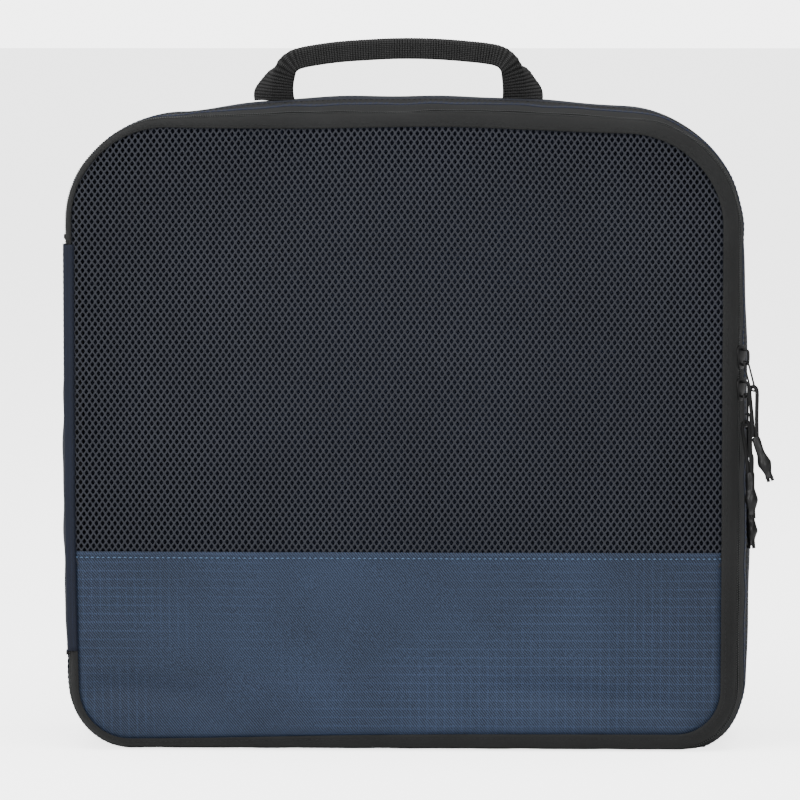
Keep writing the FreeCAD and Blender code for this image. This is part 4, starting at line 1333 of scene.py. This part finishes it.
def add_handle():
    """A strap that stands flat at its feet and is folded along its length at the grip."""
    wide, thick, samples = 20.4, 1.5, 25
    stations = np.array(HANDLE, float)
    gaps = np.linalg.norm(np.diff(stations[:, :2], axis=0), axis=1)
    run = np.concatenate([[0], np.cumsum(gaps)])
    count = math.ceil(run[-1] / 0.33)
    t = np.linspace(0, run[-1], count)
    x, z, turn, fold, y = (smooth(t, run, stations[:, i]) for i in range(5))
    turn, fold = np.radians(turn), np.radians(fold)
    across = np.linspace(wide / 2, -wide / 2, samples)
    rounding = 4.0
    bent = np.clip((rounding / 2 - across) / rounding, 0, 1)
    bent = bent * bent * (3 - 2 * bent)
    points, uv = [], []
    for i in range(count):
        angle = fold[i] * bent
        step = wide / (samples - 1)
        inward = np.array([math.cos(turn[i]), math.sin(turn[i])])
        along_front = np.concatenate([[0], np.cumsum(np.cos((angle[1:] + angle[:-1]) / 2) * step)])
        back = np.concatenate([[0], np.cumsum(np.sin((angle[1:] + angle[:-1]) / 2) * step)])
        rib = 0.13 * math.sin(FULL_TURN * t[i] / 1.3)
        shift = np.stack([-along_front * inward[0], back, -along_front * inward[1]], -1)
        normal = np.stack([np.sin(angle) * -inward[0], -np.cos(angle), np.sin(angle) * -inward[1]], -1)
        start = np.array([x[i], y[i], z[i]])
        points.append((start + shift + normal * rib) * MM)
        uv.append(np.stack([np.full(samples, t[i]), across], -1) * MM)
    made = make_mesh(
        "handle_strap",
        np.concatenate(points),
        grid_faces(count, samples, flip=True),
        material("webbing"),
        np.concatenate(uv),
    )
    made = thicken(made, thick * MM, 0.0)
    install(made, "handle", "black_webbing", "handle_webbing", flat=(wide * MM, run[-1] * MM))


def add_feet():
    for name in ("left", "right"):
        low, high = (Vector(v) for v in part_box(f"handle_foot_{name}"))
        wide, long = high.x - low.x, high.y - low.y
        rows, columns = 60, 24
        points, uv = [], []
        for v in np.linspace(0, 1, rows):
            depth = low.y - 1.0 * MM + v * (long + 1.0 * MM)
            for u in np.linspace(0, 1, columns):
                x = low.x + u * wide
                rib = 0.12 * MM * math.sin(FULL_TURN * depth / (1.3 * MM))
                points.append((x, depth, high.z + 0.6 * MM + rib))
                uv.append((depth, x))
        made = make_mesh(
            f"{name}_foot", points, grid_faces(rows, columns), material("webbing"), uv
        )
        made = thicken(made, 2.4 * MM)
        move_points(made, drop_to_wall)
        install(made, "rear_tray", "black_webbing", f"handle_foot_{name}")
        x0, x1, y0, y1 = low.x + 2.5 * MM, high.x - 2.5 * MM, low.y + 2.5 * MM, high.y - 2.5 * MM
        top = high.z + 0.85 * MM
        box = [(x0, y0), (x1, y0), (x1, y1), (x0, y1), (x0, y0), (x1, y1), (x1, y0), (x0, y1)]
        line = np.array([(x, y, top) for x, y in refine(box, 2 * MM)])
        row = grains(
            f"{name}_box_stitch",
            material("stitch_dark"),
            drop_to_wall(line),
            2.2 * MM,
            (0.7 * MM, 0.22 * MM, 0.2 * MM),
            40,
        )
        install(row, "rear_tray", "black_webbing")


def drop_to_wall(points):
    """Follows the top wall's own slope to the back and to the corners."""
    x, y, z = points.T
    along, half = np.zeros(len(x)), 2.0 * MM
    raised = wall_outset(along, np.clip(y, -0.03, 0.045)) - half
    return settle(np.stack([x, y, z + raised - 3.0 * MM], -1))


# The add-on.


def build_operator(name, label, text, work):
    """An operator that runs one group's build."""

    def execute(self, context):
        work()
        return {"FINISHED"}

    keys = {"bl_idname": f"cube.{name}", "bl_label": label, "__doc__": text, "execute": execute}
    return type(f"CUBE_OT_{name}", (bpy.types.Operator,), keys)


STEPS = (
    build_operator("camera", "Camera", "Adds the camera at the front view's angle.", add_camera),
    build_operator("pulls", "Pull cords", "Builds the three cords, sleeves and cord ends.", add_pulls),
    build_operator("sliders", "Sliders", "Builds the sliders, bridges and wires.", add_sliders),
    build_operator("mesh", "Mesh", "Knits the door's mesh window.", add_mesh),
    build_operator(
        "lower_panel", "Lower panel", "Builds the door's solid panel and its hem.", add_lower_panel
    ),
    build_operator("door_tape", "Door tape", "Builds the door's zip tape and hinge strip.", add_door_tape),
    build_operator(
        "frame_walls", "Frame walls", "Builds the front frame's tapes, strip and pleat.", add_frame_walls
    ),
    build_operator("tray_walls", "Tray walls", "Builds the gusset, back panel and binding.", add_tray_walls),
    build_operator("zips", "Zips", "Builds the coils, their stitches and the stops.", add_zips),
    build_operator("seams", "Seams", "Sews the seams.", add_seams),
    build_operator("handle", "Handle", "Builds the folded strap.", add_handle),
    build_operator("feet", "Handle feet", "Builds the strap's sewn feet.", add_feet),
)


class CUBE_OT_stage(bpy.types.Operator):
    """Adds the floor and the soft light."""

    bl_idname = "cube.stage"
    bl_label = "Stage"

    def execute(self, context):
        add_floor()
        add_light("top", (0.0, -0.5, 2.2), (0, 0, 0.1), (2.6, 2.0), 88)
        add_light("left", (-1.9, -1.6, 1.1), (0, 0, 0.16), (1.4, 1.6), 66)
        add_light("front", (0.3, -3.0, 0.9), (0, 0, 0.16), (2.0, 1.4), 74)
        world = bpy.data.worlds.new("World")
        world.use_nodes = True
        world.node_tree.nodes["Background"].inputs[0].default_value = (1, 1, 1, 1)
        nodes, links = world.node_tree.nodes, world.node_tree.links
        strength = nodes.new("ShaderNodeMath")
        strength.operation = "MULTIPLY_ADD"
        strength.inputs[1].default_value, strength.inputs[2].default_value = 4.3, 0.52
        links.new(nodes.new("ShaderNodeLightPath").outputs["Is Camera Ray"], strength.inputs[0])
        links.new(strength.outputs[0], nodes["Background"].inputs[1])
        bpy.context.scene.world = world
        return {"FINISHED"}


class CUBE_PT_panel(bpy.types.Panel):
    """Lists the cube's build steps in the sidebar."""

    bl_idname = "CUBE_PT_panel"
    bl_label = "Packing cube"
    bl_space_type = "VIEW_3D"
    bl_region_type = "UI"
    bl_category = "Cube"

    def draw(self, context):
        for step in (*STEPS, CUBE_OT_stage):
            self.layout.operator(step.bl_idname)


CLASSES = (*GROUPS.values(), *STEPS, CUBE_OT_stage, CUBE_PT_panel)


def register():
    for each in CLASSES:
        bpy.utils.register_class(each)
    for name, group in GROUPS.items():
        setattr(bpy.types.Scene, name, bpy.props.PointerProperty(type=group))


def unregister():
    for name in GROUPS:
        delattr(bpy.types.Scene, name)
    for each in reversed(CLASSES):
        bpy.utils.unregister_class(each)


def main():
    register()
    for step in (*STEPS, CUBE_OT_stage):
        name = step.bl_idname.split(".")[1]
        getattr(bpy.ops.cube, name)()


if __name__ == "__main__":
    main()
